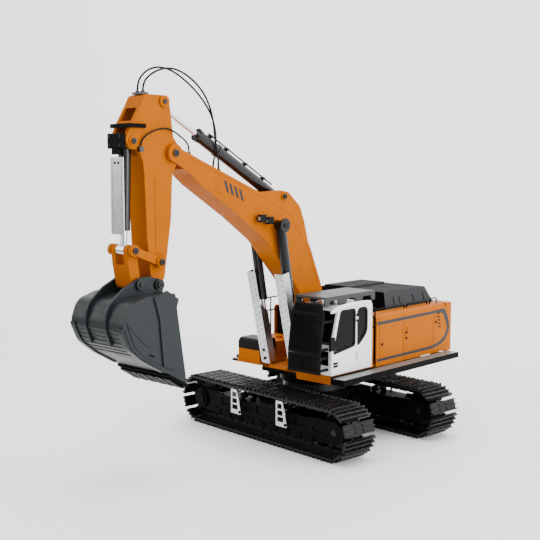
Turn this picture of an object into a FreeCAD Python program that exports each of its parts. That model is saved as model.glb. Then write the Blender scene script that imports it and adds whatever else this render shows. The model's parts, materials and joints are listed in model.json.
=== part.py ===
"""Radio-controlled crawler excavator, about 1:14, as a parametric FreeCAD document.

Frame: +Z up, +X forward along the boom, +Y to the cab side, origin on the ground
under the swing axis.  The undercarriage is drawn along its own axes (x ahead,
y left) and turned under the upper structure by the cell uc_turn.  Millimetres.
"""
import FreeCAD, Part
import math
import os
import re

import Sketcher
from FreeCAD import Placement, Rotation, Vector

doc = FreeCAD.newDocument("rc_excavator")
sheet = doc.addObject("Spreadsheet::Sheet", "Dims")
nodes = []

CELLS = {
    # undercarriage
    "uc_turn": 85, "gauge": 213.5, "track_length": 426, "track_height": 89,
    "shoe_width": 67, "shoe_count": 42, "shoe_thick": 3, "grouser": 4,
    "rail_height": 9, "rail_inner": 7, "rail_outer": 11, "frame_half": 20,
    "frame_wall": 5, "axle_radius": 6, "fit_gap": 0.06,
    # swing gear
    "gear_module": 1.5, "ring_teeth": 60, "pinion_teeth": 12, "ring_bottom": 78,
    "ring_top": 91, "swing_gap": 0.5, "ring_radius": 58,
    # upper structure
    "deck_bottom": 122, "deck_top": 126, "belly": 104, "deck_front": 100,
    "deck_rear": -248, "body_half": 116.5, "body_top": 213, "body_front": -16,
    "body_rear": -271, "panel_gap": 11, "skin": 2, "walk_half": 146, "walk_inner": 119.2,
    "walk_bottom": 112, "hood_front": -98, "hood_rear": -252, "hood_half": 84,
    "hood_top": 243,
    # cab
    "cab_rear": -11, "cab_right": 43, "cab_left": 119, "cab_wall": 3, "door_rear": 33,
    "guard_x": 122,
    # boom, stick and bucket
    "boom_half": 21.8, "fork_inner": 19.1, "boom_wall": 2.5, "stick_half": 18.6,
    "stick_wall": 2.5, "pin_radius": 4, "ear_inner": 21, "ear_outer": 25,
    "bucket_half": 60, "bucket_wall": 2.4, "arm_inner": 20.4, "arm_outer": 25.4,
    "link_half": 18.5, "link_slot": 9.8, "cylinder_y": 32,
    # cylinders
    "boom_barrel_radius": 8.4, "boom_rod_radius": 4, "stick_barrel_radius": 9.5,
    "stick_rod_radius": 4.5, "bucket_barrel_radius": 9.3, "bucket_rod_radius": 5,
    "guard_half": 9.6, "guard_sheet": 0.8,
    # hoses
    "hose_radius": 1.5, "pilot_hose_radius": 1.3,
}

# Pivot points in the side view, as (x, z).
BOOM_FOOT = (0, 148)
BOOM_TIP = (353, 489)
BOOM_CYL_TOP = (128.5, 373.5)
BOOM_CYL_FOOT = (84, 134)
STICK_CYL_BASE = (110, 420.5)
STICK_CYL_EYE = (369, 564)
BUCKET_CYL_TOP = (428, 505)
ROCKER_PIVOT = (384, 328.7)
LINK_PIVOT = (433, 348)
BUCKET_PIVOT = (388.5, 295.5)
BUCKET_LINK_PIVOT = (424, 298.5)

# Side-view outlines: corner points (x, z) or (x, z, corner radius).
BOOM_BOX = [(334, 493), (163, 426.7, 60), (92, 397, 70), (42, 335, 70), (8, 258, 120),
            (-15.5, 152), (-4, 136), (12, 140), (16, 158), (70, 257, 60), (90, 281, 60),
            (150, 346, 90), (211, 388, 60), (300, 442), (320, 458, 30), (334, 465)]
BOOM_CAVITY = [(331, 489), (163, 423, 57), (94, 394.5, 66), (45, 334, 66), (11, 258, 115),
               (-1, 190), (22, 178), (67, 259, 60), (88, 284, 60), (148, 349.5, 86),
               (209.5, 391.5, 57), (299, 445), (318, 461, 28), (331, 468)]
BOOM_LUG = [(168, 428.6), (118, 431, 9), (98, 428, 14), (68, 403, 24), (57, 378, 60),
            (46, 341), (60, 335), (130, 395), (168, 412)]
BOOM_FORK = [(353, 502), (346, 498.5), (305, 482), (300, 446), (322, 460), (346, 473), (353, 476)]
STICK_SIDE = [(404, 573, 10), (414, 555), (428.5, 531, 20), (441.5, 506, 8), (433, 494, 6),
              (418, 493, 4), (410, 478, 12), (407.5, 457), (403.5, 362), (397, 304),
              (388.5, 288), (376, 296), (371, 306), (357.5, 390), (354, 457), (341, 480),
              (341, 500), (351, 512), (354, 531), (357, 556), (361, 573, 7)]
STICK_CAVITY = [(401, 570.5, 8), (411, 554), (424, 532), (411, 512), (408, 496), (405, 457),
                (401, 362), (395, 318), (374, 318), (360, 391), (357, 455), (370, 475),
                (370, 505), (356.5, 514), (356.5, 531), (359.5, 556), (363, 570.5, 5)]
LINK_SIDE = [(424.5, 356, 8), (441.5, 356, 8), (440, 330), (432.5, 290.5, 8), (416, 290.5, 8), (421, 325)]
BUCKET_OUTER = [(387, 285), (440, 285, 24), (474, 275, 26), (486, 244, 24), (472, 214, 26),
                (446, 194), (366, 148.3)]
BUCKET_INNER = [(350, 282.6), (439.5, 282.6, 21.6), (472, 273, 23.6), (483.2, 244.4, 21.6),
                (470.2, 216, 23.6), (444.9, 196.2), (361, 148.2), (340, 200)]
BUCKET_EAR = [(380, 302, 7), (405, 309, 14), (426, 308, 14), (454, 295, 40), (482, 272, 30),
              (488.5, 244, 40), (477, 214), (473, 217), (484.5, 244, 30), (471, 272, 26), (440, 282),
              (380, 284)]
SIDE_CUTTER = [(388.6, 172), (412, 181), (418.5, 250), (428, 283), (404, 291), (382, 277), (396, 235)]
CUTTING_EDGE = [(360, 144.8), (400, 167.7), (401.7, 164.7), (367, 142.6)]
CAB_SIDE = [(-11, 126.05), (100, 126.05), (100, 172, 40), (81, 240, 12), (-11, 240, 8)]
CAB_ROOM = [(-8, 129), (97, 129), (97, 172, 37), (78.8, 237, 9), (-8, 237, 5)]
DOOR_HOLE = [(33, 128.2), (96.4, 128.2, 3.4), (96.4, 170, 40), (77.6, 235.8, 8.4), (33, 235.8)]
DOOR_SIDE = [(33.4, 128.6), (96, 128.6, 3), (96, 170, 40), (77.2, 235.4, 8), (33.4, 235.4)]
DOOR_WINDOW = [(38.5, 171.5, 5), (38.5, 230, 4), (74, 230, 8), (91.8, 164, 5)]
QUARTER_WINDOW = [(28, 171, 3), (28, 230, 4), (5, 230, 4), (5, 190, 16)]
RIGHT_WINDOW = [(-5, 160, 5), (-5, 231, 5), (72, 231, 6), (88, 172, 20), (88, 160, 5)]
WINDSCREEN_SLOPE = 19 / 68
GUARD_WEB = ((96, 127), (134, 291))
GUARD_DEPTH = 16

# Hose routes (x, y, z): straight runs, which arcs then join.
HOSE_A = [(398, 6.2, 577.5), (398, 6.2, 590), (385, 8.5, 603.5), (366, 11.5, 612.5), (345, 12.4, 614.5),
          (323, 12.4, 609), (302, 12.4, 598), (283, 12.4, 582), (270, 12.4, 562), (263, 12.4, 540),
          (260, 12.4, 517), (256, 12, 495), (252, 12, 480.5), (252, 12, 464.5)]
HOSE_B = [(398, -6.2, 577.5), (398, -6.2, 591.5), (384, -8.5, 606.5), (364, -11.5, 616), (342, -12.4, 618),
          (319, -12.4, 612), (296, -12.4, 600), (273, -12.4, 584), (252, -12.4, 564), (238, -12.4, 541),
          (233, -12.4, 516), (235, -12, 492), (241, -12, 475), (241, -12, 460)]
PILOT_HOSE = [(416, 21.6, 495.8), (416, 21.8, 504), (409, 22.6, 512.5), (397, 23.2, 519), (381, 23, 524),
              (363, 21.5, 525), (346, 19, 519), (333, 16, 513), (322, 14.4, 507), (316, 14, 499.5),
              (316, 14, 489.1)]


# ---------------------------------------------------------------- small helpers

def fill_sheet():
    """Write each driving dimension as plain text with its alias beside its name."""
    for row, (alias, value) in enumerate(CELLS.items(), start=1):
        sheet.set(f"A{row}", alias)
        sheet.set(f"B{row}", str(value))
        sheet.setAlias(f"B{row}", alias)
    doc.recompute()


def size(alias):
    return float(getattr(sheet, alias))


def bind(obj, prop, value):
    """Set a property from a plain number, or bind it to a formula of cell names."""
    text = re.sub(r"\b([a-z]\w*)\b", r"Dims.\1", str(value))
    obj.setExpression(prop, text)


def place(obj, at):
    for axis, value in zip("xyz", at):
        bind(obj, f"Placement.Base.{axis}", value)
    return obj


def block(sizes, centre):
    """A box given by its three sizes and its centre."""
    obj = doc.addObject("Part::Box", "block")
    for prop, value in zip(("Length", "Width", "Height"), sizes):
        bind(obj, prop, value)
    return place(obj, [f"({c}) - ({s})/2" for c, s in zip(centre, sizes)])


def span(low, high):
    """A box given by its lowest and highest corners."""
    sizes = [f"({b}) - ({a})" for a, b in zip(low, high)]
    obj = doc.addObject("Part::Box", "block")
    for prop, value in zip(("Length", "Width", "Height"), sizes):
        bind(obj, prop, value)
    return place(obj, low)


AXIS_TURN = {"X": Rotation(Vector(0, 1, 0), 90), "Y": Rotation(Vector(1, 0, 0), -90), "Z": Rotation()}


def rod(radius, length, at, axis="Z"):
    """A cylinder whose base centre is at a point, along an axis."""
    obj = doc.addObject("Part::Cylinder", "rod")
    bind(obj, "Radius", radius)
    bind(obj, "Height", length)
    obj.Placement = Placement(Vector(), AXIS_TURN[axis])
    return place(obj, at)


def cross_pin(radius, half, point, y=0):
    """A cylinder across the machine, centred at y, through a side-view point."""
    return rod(radius, f"2*({half})", (point[0], f"({y}) - ({half})", point[1]), "Y")


def cone(base_radius, top_radius, height, at, axis="Z"):
    obj = doc.addObject("Part::Cone", "cone")
    bind(obj, "Radius1", base_radius)
    bind(obj, "Radius2", top_radius)
    bind(obj, "Height", height)
    obj.Placement = Placement(Vector(), AXIS_TURN[axis])
    return place(obj, at)


def fuse(*objs):
    obj = doc.addObject("Part::MultiFuse", "fuse")
    obj.Shapes = list(objs)
    return obj


def cut(base, *tools):
    obj = doc.addObject("Part::Cut", "cut")
    obj.Base = base
    obj.Tool = tools[0] if len(tools) == 1 else fuse(*tools)
    return obj


def group(*objs):
    """Separate solids of one kind, kept in one node."""
    obj = doc.addObject("Part::Compound", "group")
    obj.Links = list(objs)
    return obj


def both_sides(make):
    """The same piece on the left (+1) and on the right (-1)."""
    return group(*[make(side) for side in (1, -1)])


def feature(shape):
    """A shape made by Part's own functions from the sheet's sizes."""
    obj = doc.addObject("Part::Feature", "shape")
    obj.Shape = shape
    return obj


def node(label, obj, turned=False):
    """Name a finished sub-part; turned ones lie along the undercarriage's axes."""
    if turned:
        obj.Placement = Placement(Vector(), Rotation(Vector(0, 0, 1), size("uc_turn")))
    obj.Label = label
    nodes.append(obj)
    return obj


def outline_edges(points):
    """Lines joined by tangent arcs at the corners that state a radius."""
    corners = []
    for i, point in enumerate(points):
        here = Vector(point[0], point[1])
        if len(point) == 2:
            corners.append((here, here, None))
            continue
        before = (Vector(*points[i - 1][:2]) - here).normalize()
        after = (Vector(*points[(i + 1) % len(points)][:2]) - here).normalize()
        half = before.getAngle(after) / 2
        reach = point[2] / math.tan(half)
        centre = here + (before + after).normalize() * (point[2] / math.sin(half))
        middle = centre + (here - centre).normalize() * point[2]
        start, end = here + before * reach, here + after * reach
        corners.append((start, end, Part.Arc(start, middle, end)))
    edges = []
    for i, (start, end, arc) in enumerate(corners):
        following = corners[(i + 1) % len(corners)][0]
        if arc:
            edges.append(arc)
        if (following - end).Length > 1e-6:
            edges.append(Part.LineSegment(end, following))
    return edges


def origin_plane(body, role):
    return next(f for f in body.Origin.OriginFeatures if f.Role == role)


def sketch(body, role, points, holes=()):
    """A sketch of an outline and round holes (x, z, radius formula) on an origin plane."""
    drawing = body.newObject("Sketcher::SketchObject", "outline")
    drawing.AttachmentSupport = [(origin_plane(body, role), "")]
    drawing.MapMode = "FlatFace"
    for edge in outline_edges(points):
        drawing.addGeometry(edge)
    for x, y, radius in holes:
        index = drawing.addGeometry(Part.Circle(Vector(x, y), Vector(0, 0, 1), 1))
        constraint = drawing.addConstraint(Sketcher.Constraint("Radius", index, 1))
        bind(drawing, f"Constraints[{constraint}]", radius)
    return drawing


def plate(points, thickness, y=0, holes=(), role="XZ_Plane"):
    """A flat plate of an outline, centred at a distance from its origin plane."""
    body = doc.addObject("PartDesign::Body", "plate")
    pad = body.newObject("PartDesign::Pad", "pad")
    pad.Profile = sketch(body, role, points, holes)
    pad.Midplane = True
    bind(pad, "Length", thickness)
    axis = {"XZ_Plane": "y", "YZ_Plane": "x", "XY_Plane": "z"}[role]
    bind(body, f"Placement.Base.{axis}", y)
    return body


def hollow_box(points, cavity, width, wall, holes=()):
    """A box section: an outline padded to a width, with a closed inner cavity."""
    body = plate(points, width, holes=holes)
    doc.recompute()
    pocket = body.newObject("PartDesign::Pocket", "cavity")
    pocket.Profile = sketch(body, "XZ_Plane", cavity)
    pocket.Midplane = True
    bind(pocket, "Length", f"({width}) - 2*({wall})")
    return body


def gear_outline(teeth, module, inside):
    """Straight-flanked teeth on a circle; inside=True leaves a ring's tooth spaces."""
    pitch_radius = teeth * module / 2
    addendum, dedendum = 0.8 * module, 1.15 * module
    outer, inner = pitch_radius + addendum, pitch_radius - dedendum
    tip, root = 0.13, 0.30
    if inside:
        outer, inner = pitch_radius + dedendum, pitch_radius - addendum
        tip, root = 0.22, 0.36
    points = []
    for i in range(teeth):
        middle = math.pi + 2 * math.pi * i / teeth
        for share, radius in ((-root, inner), (-tip, outer), (tip, outer), (root, inner)):
            angle = middle + share * 2 * math.pi / teeth
            points.append((radius * math.cos(angle), radius * math.sin(angle)))
    return points


def rounded_wire(route):
    """Straight runs joined by tangent arcs; returns the wire and the arc radii."""
    points = [Vector(*p) for p in route]
    edges, radii, start = [], [], points[0]
    for before, here, after in zip(points, points[1:], points[2:]):
        back, ahead = before - here, after - here
        reach = 0.45 * min(back.Length, ahead.Length)
        half = back.getAngle(ahead) / 2
        back.normalize()
        ahead.normalize()
        radius = reach * math.tan(half)
        centre = here + (back + ahead).normalize() * (radius / math.sin(half))
        middle = centre + (here - centre).normalize() * radius
        edges.append(Part.LineSegment(start, here + back * reach).toShape())
        edges.append(Part.Arc(here + back * reach, middle, here + ahead * reach).toShape())
        radii.append(radius)
        start = here + ahead * reach
    edges.append(Part.LineSegment(start, points[-1]).toShape())
    return Part.Wire(edges), radii


def tube(route, radius, name=None):
    """A round bar along a route; a named one prints its tightest arc and its volume."""
    wire, radii = rounded_wire(route)
    direction = wire.Edges[0].tangentAt(wire.Edges[0].FirstParameter)
    section = Part.Wire(Part.makeCircle(radius, wire.Vertexes[0].Point, direction))
    solid = wire.makePipeShell([section], True, True)
    if name:
        expected = math.pi * radius ** 2 * wire.Length
        print(f"{name}: length {wire.Length:.1f}, arcs {min(radii):.1f} to {max(radii):.1f}, "
              f"volume ratio {solid.Volume / expected:.4f}")
    return solid


# ---------------------------------------------------------------- undercarriage

def loop_stations():
    """Centre point and outward angle of every shoe round the track's loop."""
    end_radius = size("track_height") / 2
    axle_x = size("track_length") / 2 - end_radius
    pin_radius = end_radius - size("grouser") - size("shoe_thick") - size("rail_height") / 2
    straight, arc = 2 * axle_x, math.pi * pin_radius
    pitch = 2 * (straight + arc) / size("shoe_count")
    stations = []
    for i in range(int(size("shoe_count"))):
        distance = i * pitch + axle_x
        lap, along = divmod(distance, straight + arc)
        turn = 180 * (lap % 2)
        way = -1 if turn else 1
        if along <= straight:
            stations.append((way * (along - axle_x), -90 + turn))
        else:
            stations.append((way * axle_x, -90 + turn + 180 * (along - straight) / arc))
    return stations, pitch, end_radius


def around_loop(piece, side):
    """Copies of a piece, drawn with x outward and z along the track, round one loop."""
    stations, _, axle_z = loop_stations()
    copies = []
    for x, angle in stations:
        at = Vector(x, side * size("gauge") / 2, axle_z)
        copies.append(piece.copy())
        copies[-1].Placement = Placement(at, Rotation(Vector(0, -1, 0), angle))
    return Part.makeCompound(copies)


def prism(points, y_low, y_high):
    """A prism of a side-view polygon between two distances across."""
    corners = [Vector(x, y_low, z) for x, z in points]
    face = Part.Face(Part.makePolygon(corners + corners[:1]))
    return face.extrude(Vector(0, y_high - y_low, 0))


def shoe():
    """One shoe: a flat plate with three grouser bars and bevelled ends."""
    _, pitch, outer = loop_stations()
    half = pitch / 2 - 0.4
    top = outer - size("grouser")
    inner = top - size("shoe_thick")
    section = [(inner, -half), (inner, half), (top, half)]
    for z in (8.2, 0, -8.2):
        section += [(top, z + 1.3), (outer, z + 0.8), (outer, z - 0.8), (top, z - 1.3)]
    section.append((top, -half))
    half_width = size("shoe_width") / 2
    return prism(section, -half_width, half_width)


def chain_link():
    """One link: two rails under the shoe, bridged by a thin web."""
    _, pitch, outer = loop_stations()
    top = outer - size("grouser") - size("shoe_thick") - 0.05
    low = top - size("rail_height")
    rail_in, rail_out = size("rail_inner"), size("rail_outer")
    side = [(top, -pitch / 2 + 0.3), (top, pitch / 2 - 0.3), (top - 5, pitch / 2 - 0.3),
            (low, 8.2), (low, -8.2), (top - 5, -pitch / 2 + 0.3)]
    web = prism([(top, -7), (top, 7), (top - 1, 7), (top - 1, -7)], -rail_out, rail_out)
    return web.multiFuse([prism(side, rail_in, rail_out), prism(side, -rail_out, -rail_in)])


def drive_wheel(side, front):
    """The toothed sprocket at the rear or the plain idler at the front, on its stub axle."""
    x = "track_length/2 - track_height/2"
    x = x if front else f"-({x})"
    y = f"{side}*gauge/2"
    at = lambda half: (x, f"{y} - ({half})", "track_height/2")
    hub = rod(9, 29.2, at(14.6), "Y")
    axle = rod("axle_radius", "2*frame_half - 2", at("frame_half - 1"), "Y")
    if front:
        rim = cut(rod(35.6, 12, at(6), "Y"), rod(30, 3.5, (x, f"{y} - 6", "track_height/2"), "Y"),
                  rod(30, 3.5, (x, f"{y} + 2.5", "track_height/2"), "Y"))
        return fuse(rim, hub, axle)
    teeth = 12
    points = []
    for i in range(teeth):
        for share, radius in ((-0.32, 30), (-0.16, 35.2), (0.16, 35.2), (0.32, 30)):
            angle = 2 * math.pi * (i + share) / teeth
            points.append((radius * math.cos(angle), radius * math.sin(angle)))
    disc = plate(points, 9)
    place(disc, (x, y, "track_height/2"))
    return fuse(disc, hub, axle)


def track_frame(side):
    """The side beam: a box over two skirts, with cheeks that carry the axles."""
    y = f"{side}*gauge/2"
    axle_x, axle_z = "track_length/2 - track_height/2", "track_height/2"
    parts = [block((244, "2*frame_half", 22), (0, y, 49))]
    for edge in (1, -1):
        wall_y = f"{y} + {edge}*(frame_half - frame_wall/2)"
        parts.append(block((244, "frame_wall", 19), (0, wall_y, 29.5)))
        reach = size("track_length") / 2 - size("track_height") / 2
        for end in (1, -1):
            cheek = [(end * 112, 22), (end * (reach + 6), 26, 8), (end * (reach + 24), 36, 10),
                     (end * (reach + 24), 54, 10), (end * (reach + 4), 64, 8), (end * 112, 62)]
            parts.append(plate(cheek, "frame_wall", wall_y))
        for x in (-60, 60):
            parts.append(block((10, 2, 12), (x, f"{y} + {edge}*14", 64)))
    tools = []
    for end in (1, -1):
        tools.append(rod("axle_radius + fit_gap", 60, (f"{end}*({axle_x})", f"{y} - 30", axle_z), "Y"))
    outer_face = f"{y} + {side}*frame_half"
    for x in (-96, 0, 96):
        tools.append(block((34, 3, 13), (x, outer_face, 49)))
    for x in (-62, 62):
        tools.append(block((16, 3, 7), (x, outer_face, 51)))
    slot = block((30, 3, 11), (f"{axle_x} - 26", outer_face, axle_z))
    slot_ends = [rod(5.5, 3, (f"{axle_x} - {x}", f"{outer_face} - 1.5", axle_z), "Y") for x in (11, 41)]
    return cut(fuse(*parts), *tools, slot, *slot_ends)


def final_drive(side):
    """Bolted cover outside the frame and travel motor inside it."""
    x, z = "-(track_length/2 - track_height/2)", "track_height/2"
    face = f"{side}*(gauge/2 + frame_half + 0.05)"
    out = lambda depth: f"{face} - {depth}" if side < 0 else face
    cover = rod(17, 4, (x, out(4), z), "Y")
    cap = rod(11, 7, (x, out(7), z), "Y")
    bolts = []
    for i in range(8):
        angle = 2 * math.pi * i / 8
        at = (f"{x} + {14 * math.cos(angle):.3f}", out(5), f"{z} + {14 * math.sin(angle):.3f}")
        bolts.append(rod(1.2, 5, at, "Y"))
    inner = f"{side}*(gauge/2 - frame_half - 0.05)"
    low = f"{inner} - {15 if side > 0 else 0}"
    motor = fuse(rod(15, 15, (x, low, z), "Y"), block((26, 15, 16), (f"{x} + 16", f"{low} + 7.5", z)))
    return group(fuse(cover, cap, *bolts), motor)


def rollers(xs, radius, z, shaft_half):
    """Twin-tread rollers on short shafts, along both tracks."""
    tread = Part.makeCylinder(radius, 6, Vector(0, 6, 0), Vector(0, 1, 0))
    other = Part.makeCylinder(radius, 6, Vector(0, -12, 0), Vector(0, 1, 0))
    shaft = Part.makeCylinder(radius * 0.5, 2 * shaft_half, Vector(0, -shaft_half, 0), Vector(0, 1, 0))
    roller = tread.multiFuse([other, shaft])
    copies = []
    for side in (1, -1):
        for x in xs:
            copies.append(roller.copy())
            copies[-1].translate(Vector(x, side * size("gauge") / 2, z))
    return feature(Part.makeCompound(copies))


def track_step(side, x):
    """A ladder step: a flared face plate with three openings, on treads from the side frame."""
    inner = size("gauge") / 2 + size("frame_half") + 0.05
    outer = size("gauge") / 2 + size("shoe_width") / 2 - 2.5
    y_low, y_high = sorted((side * inner, side * outer))
    outline = [(x - 13, 36, 1), (x - 13, 79, 1), (x + 3, 79, 1), (x + 15, 36, 3)]
    face = plate(outline, 1.6, f"{side}*{outer - 0.8}")
    openings = [block((11 + 2 * i, 4, 8.6), (x - 4 + i, side * outer, 70 - 11 * i)) for i in range(3)]
    treads = [span((x - 11, y_low, z), (x + 3, y_high, z + 1.4)) for z in (41, 52, 63, 75)]
    return fuse(cut(face, *openings), *treads)


def center_frame():
    """The car body: a bevelled box on four legs that reach both side frames."""
    half = "gauge/2 - frame_half"
    parts = [block((112, 116, 26), (0, 0, 61)), rod(57, 4.9, (0, 0, 73))]
    for end in (1, -1):
        for side in (1, -1):
            parts.append(block((30, f"{half} - 30", 22), (end * 50, f"{side}*(({half}) + 30)/2", 52)))
            parts.append(block((22, f"{half} - 50", 8), (end * 46, f"{side}*(({half}) + 50)/2", 67)))
    return fuse(*parts)


def build_undercarriage():
    node("center_frame", center_frame(), turned=True)
    node("track_frames", both_sides(track_frame), turned=True)
    node("track_shoes", both_sides(lambda side: feature(around_loop(shoe(), side))), turned=True)
    node("track_chains", both_sides(lambda side: feature(around_loop(chain_link(), side))), turned=True)
    for side, name in ((1, "left"), (-1, "right")):
        node(f"sprocket_{name}", drive_wheel(side, False), turned=True)
        node(f"idler_{name}", drive_wheel(side, True), turned=True)
    node("final_drives", both_sides(final_drive), turned=True)
    lower = rollers([x * 30 for x in range(-4, 5)], 9, 25.4, 15)
    node("track_rollers", group(lower, rollers((-60, 60), 5.8, 66.8, 13)), turned=True)
    node("track_steps", group(*[track_step(s, x) for s in (1, -1) for x in (-60, 58)]), turned=True)


# ---------------------------------------------------------------- swing bearing

def build_swing():
    """Ring gear on the car body, bearing ring under the deck, pinion and motor."""
    module, ring, pinion = size("gear_module"), int(size("ring_teeth")), int(size("pinion_teeth"))
    blank = rod("ring_radius", "ring_top - ring_bottom - 0.05", (0, 0, "ring_bottom + 0.05"))
    spaces = plate(gear_outline(ring, module, True), "ring_top - ring_bottom + 2",
                   "(ring_top + ring_bottom)/2 + 1.5", role="XY_Plane")
    node("slew_ring_gear", cut(blank, spaces))

    low = "ring_top + swing_gap"
    bearing = cut(rod("ring_radius + 5", f"belly - ({low})", (0, 0, low)), rod(49, 30, (0, 0, 80)))
    node("slew_ring_bearing", bearing)

    offset = (ring - pinion) * module / 2
    teeth = plate(gear_outline(pinion, module, False), "ring_top - ring_bottom - 4",
                  "(ring_top + ring_bottom)/2 + 0.5", role="XY_Plane")
    shaft = rod(4, "deck_top - 0.5 - ring_bottom - 3", (0, 0, "ring_bottom + 3"))
    gear = fuse(teeth, shaft)
    gear.Placement.Base.x = -offset
    node("swing_pinion", gear)
    motor = fuse(rod(15, 14, (-offset, 0, "deck_top")), rod(12, 26, (-offset, 0, "deck_top + 14")),
                 rod(5, 3, (-offset, 0, "deck_top + 40")))
    node("swing_motor", motor)


# ---------------------------------------------------------------- upper structure

def clevis_ear(x, z, y, foot_x, radius=6.5):
    """An ear that carries a pin at (x, z) and stands on the deck at foot_x."""
    base = size("deck_top") - 1
    bend = radius - 0.5
    outline = [(foot_x, base), (foot_x, base + 5), (x - 3, z + radius, 4), (x + radius, z + radius, bend),
               (x + radius, z - radius, bend), (x - 8, base)]
    return plate(outline, 3, y)


def upper_deck():
    """Main plate, belly box, cab bay and the ears for the boom and its cylinders."""
    parts = [span(("deck_rear", -112, "deck_bottom"), ("deck_front", 112, "deck_top")),
             span((-232, -72, "belly"), (64, 72, "deck_bottom + 1"))]
    bay = [(40, 124), (44, 111), (118, 111), (118, 124)]
    parts.append(plate(bay, 110, 45, role="YZ_Plane"))
    for side in (1, -1):
        foot = [(-22, 125), (-17, 148), (-8, 162, 6), (8, 162, 6), (17, 148), (24, 125)]
        parts.append(plate(foot, 5.5, f"{side}*(boom_half + 0.8 + 2.75)"))
        for edge in (1, -1):
            parts.append(clevis_ear(*BOOM_CYL_FOOT, f"{side}*cylinder_y + {edge}*6.2", 52))
    tools = [rod("pin_radius + 0.03", 70, (BOOM_FOOT[0], -35, BOOM_FOOT[1]), "Y"),
             rod("pin_radius + fit_gap", 60, ("-(ring_teeth - pinion_teeth)*gear_module/2", 0, 90))]
    for side in (1, -1):
        tools.append(cross_pin(3.03, 12, BOOM_CYL_FOOT, f"{side}*cylinder_y"))
        tools.append(span((74, f"{side}*cylinder_y - 4.6", 119), (102, f"{side}*cylinder_y + 4.6", 128)))
        tools.append(span((74, f"{side}*cylinder_y + 7.9", 119), (102, f"{side}*cylinder_y + 11.4", 128)))
        tools.append(span((74, f"{side}*cylinder_y - 11.4", 119), (102, f"{side}*cylinder_y - 7.9", 128)))
        tools.append(span((90.5, f"{side}*cylinder_y - 11.4", 119), (102, f"{side}*cylinder_y + 11.4", 128)))
    return cut(fuse(*parts), *tools)


def foot_pins(side):
    """Stub pins in the cylinder's clevis ears; they stop short of the rod eye."""
    x, z = BOOM_CYL_FOOT
    return group(*[rod(3, 3.4, (x, f"{side}*cylinder_y + {low}", z), "Y") for low in (4.7, -8.1)])


def skin_profile(side, inset=0, low=-4):
    """Side panel seen from the front: upright, round shoulder and top flange."""
    half, top, skin = size("body_half") - inset, size("body_top"), size("skin")
    low += size("deck_top")
    outer = [(half, low), (half, top, 9), (88, top)]
    inner = [(88, top - skin), (half - skin, top - skin, 7), (half - skin, low)]
    return [(side * p[0],) + p[1:] for p in outer + inner]


def side_panel(side, front):
    """A panel with door seams, vent slots and a pressed latch."""
    length = f"({front}) - (deck_rear) - 0.4"
    panel = plate(skin_profile(side), length, f"(({front}) + (deck_rear))/2", role="YZ_Plane")
    face = f"{side}*body_half"
    tools = [block((0.9, 1.6, 100), (x, face, 168)) for x in (-36, -110, -208)]
    for i in range(5):
        tools.append(block((9, 1.8, 2.4), (f"-222 - {i}*1.2", face, f"196 - {i}*6.5")))
    tools.append(block((7, 1.4, 12), (-118, face, 176)))
    return cut(panel, *tools)


def counterweight():
    """Cast block across the rear with rounded corners and a lifting recess."""
    half, rear = size("body_half"), size("body_rear")
    outer = [(rear, -half, 6), (rear, half, 6), (-248.2, half), (-248.2, 108), (-226, 108), (-226, -108),
             (-248.2, -108), (-248.2, -half)]
    block_body = plate(outer, "body_top - deck_top + 6", "(body_top + deck_top)/2 - 3", role="XY_Plane")
    room = span((-250, -112.5, 118), (-225, 112.5, "deck_top + 0.1"))
    notch = span(("deck_rear - 0.2", -109, "body_top - 2.2"), (-225, 109, "body_top + 1"))
    grips = [block((3, 40, 9), ("body_rear", y, 150)) for y in (-62, 62)]
    return cut(block_body, room, notch, *grips)


def hood():
    """A tapered cover over the engine bay, open below."""
    def wedge(inset, lift, name):
        obj = doc.addObject("Part::Wedge", name)
        length = "hood_front - hood_rear"
        values = {"Xmin": inset, "Xmax": f"{length} - {inset}",
                  "Ymin": -lift, "Ymax": f"hood_top - body_top - {inset}",
                  "Zmin": f"-hood_half + {inset}", "Zmax": f"hood_half - {inset}",
                  "X2min": f"16 + {inset}", "X2max": f"{length} - 6 - {inset}",
                  "Z2min": f"-hood_half + 9 + {inset}", "Z2max": f"hood_half - 9 - {inset}"}
        for prop, value in values.items():
            bind(obj, prop, value)
        obj.Placement = Placement(Vector(), Rotation(Vector(1, 0, 0), 90))
        return place(obj, ("hood_rear", 0, "body_top"))
    shell = cut(wedge(0, 0, "hood_outside"), wedge(2, 0.5, "hood_inside"))
    ridge = span(("hood_rear + 26", -70, "hood_top - 0.5"), ("hood_front - 12", -12, "hood_top + 3"))
    slots = []
    for side in (1, -1):
        for x in (-128, -146, -190, -224):
            slots.append(block((2.5, 14, 15), (x, f"{side}*(hood_half - 3)", "body_top + 12")))
    return cut(fuse(shell, ridge), *slots)


def walkway(side, front):
    """A channel along the side with a recess for its tread."""
    y = f"{side}*(walk_inner + walk_half)/2"
    width = "walk_half - walk_inner"
    length, middle = f"({front}) - deck_rear", f"(({front}) + deck_rear)/2"
    beam = block((length, width, "deck_bottom - walk_bottom"), (middle, y, "(deck_bottom + walk_bottom)/2"))
    recess = block((f"({length}) - 3", f"{width} - 3", 2.4), (middle, y, "deck_bottom"))
    hollow = block((f"({length}) - 5", f"{width} - 5", 16), (middle, y, "walk_bottom - 1"))
    arms = [block((10, 16, 6), (x, f"{side}*111.5", "deck_bottom - 3")) for x in (-220, -120, -20)]
    return fuse(cut(beam, recess, hollow), *arms)


def tread(side, front):
    y = f"{side}*(walk_inner + walk_half)/2"
    length, middle = f"({front}) - deck_rear", f"(({front}) + deck_rear)/2"
    return block((f"({length}) - 3.4", "walk_half - walk_inner - 3.4", 1.2), (middle, y, "deck_bottom - 0.6"))


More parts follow.
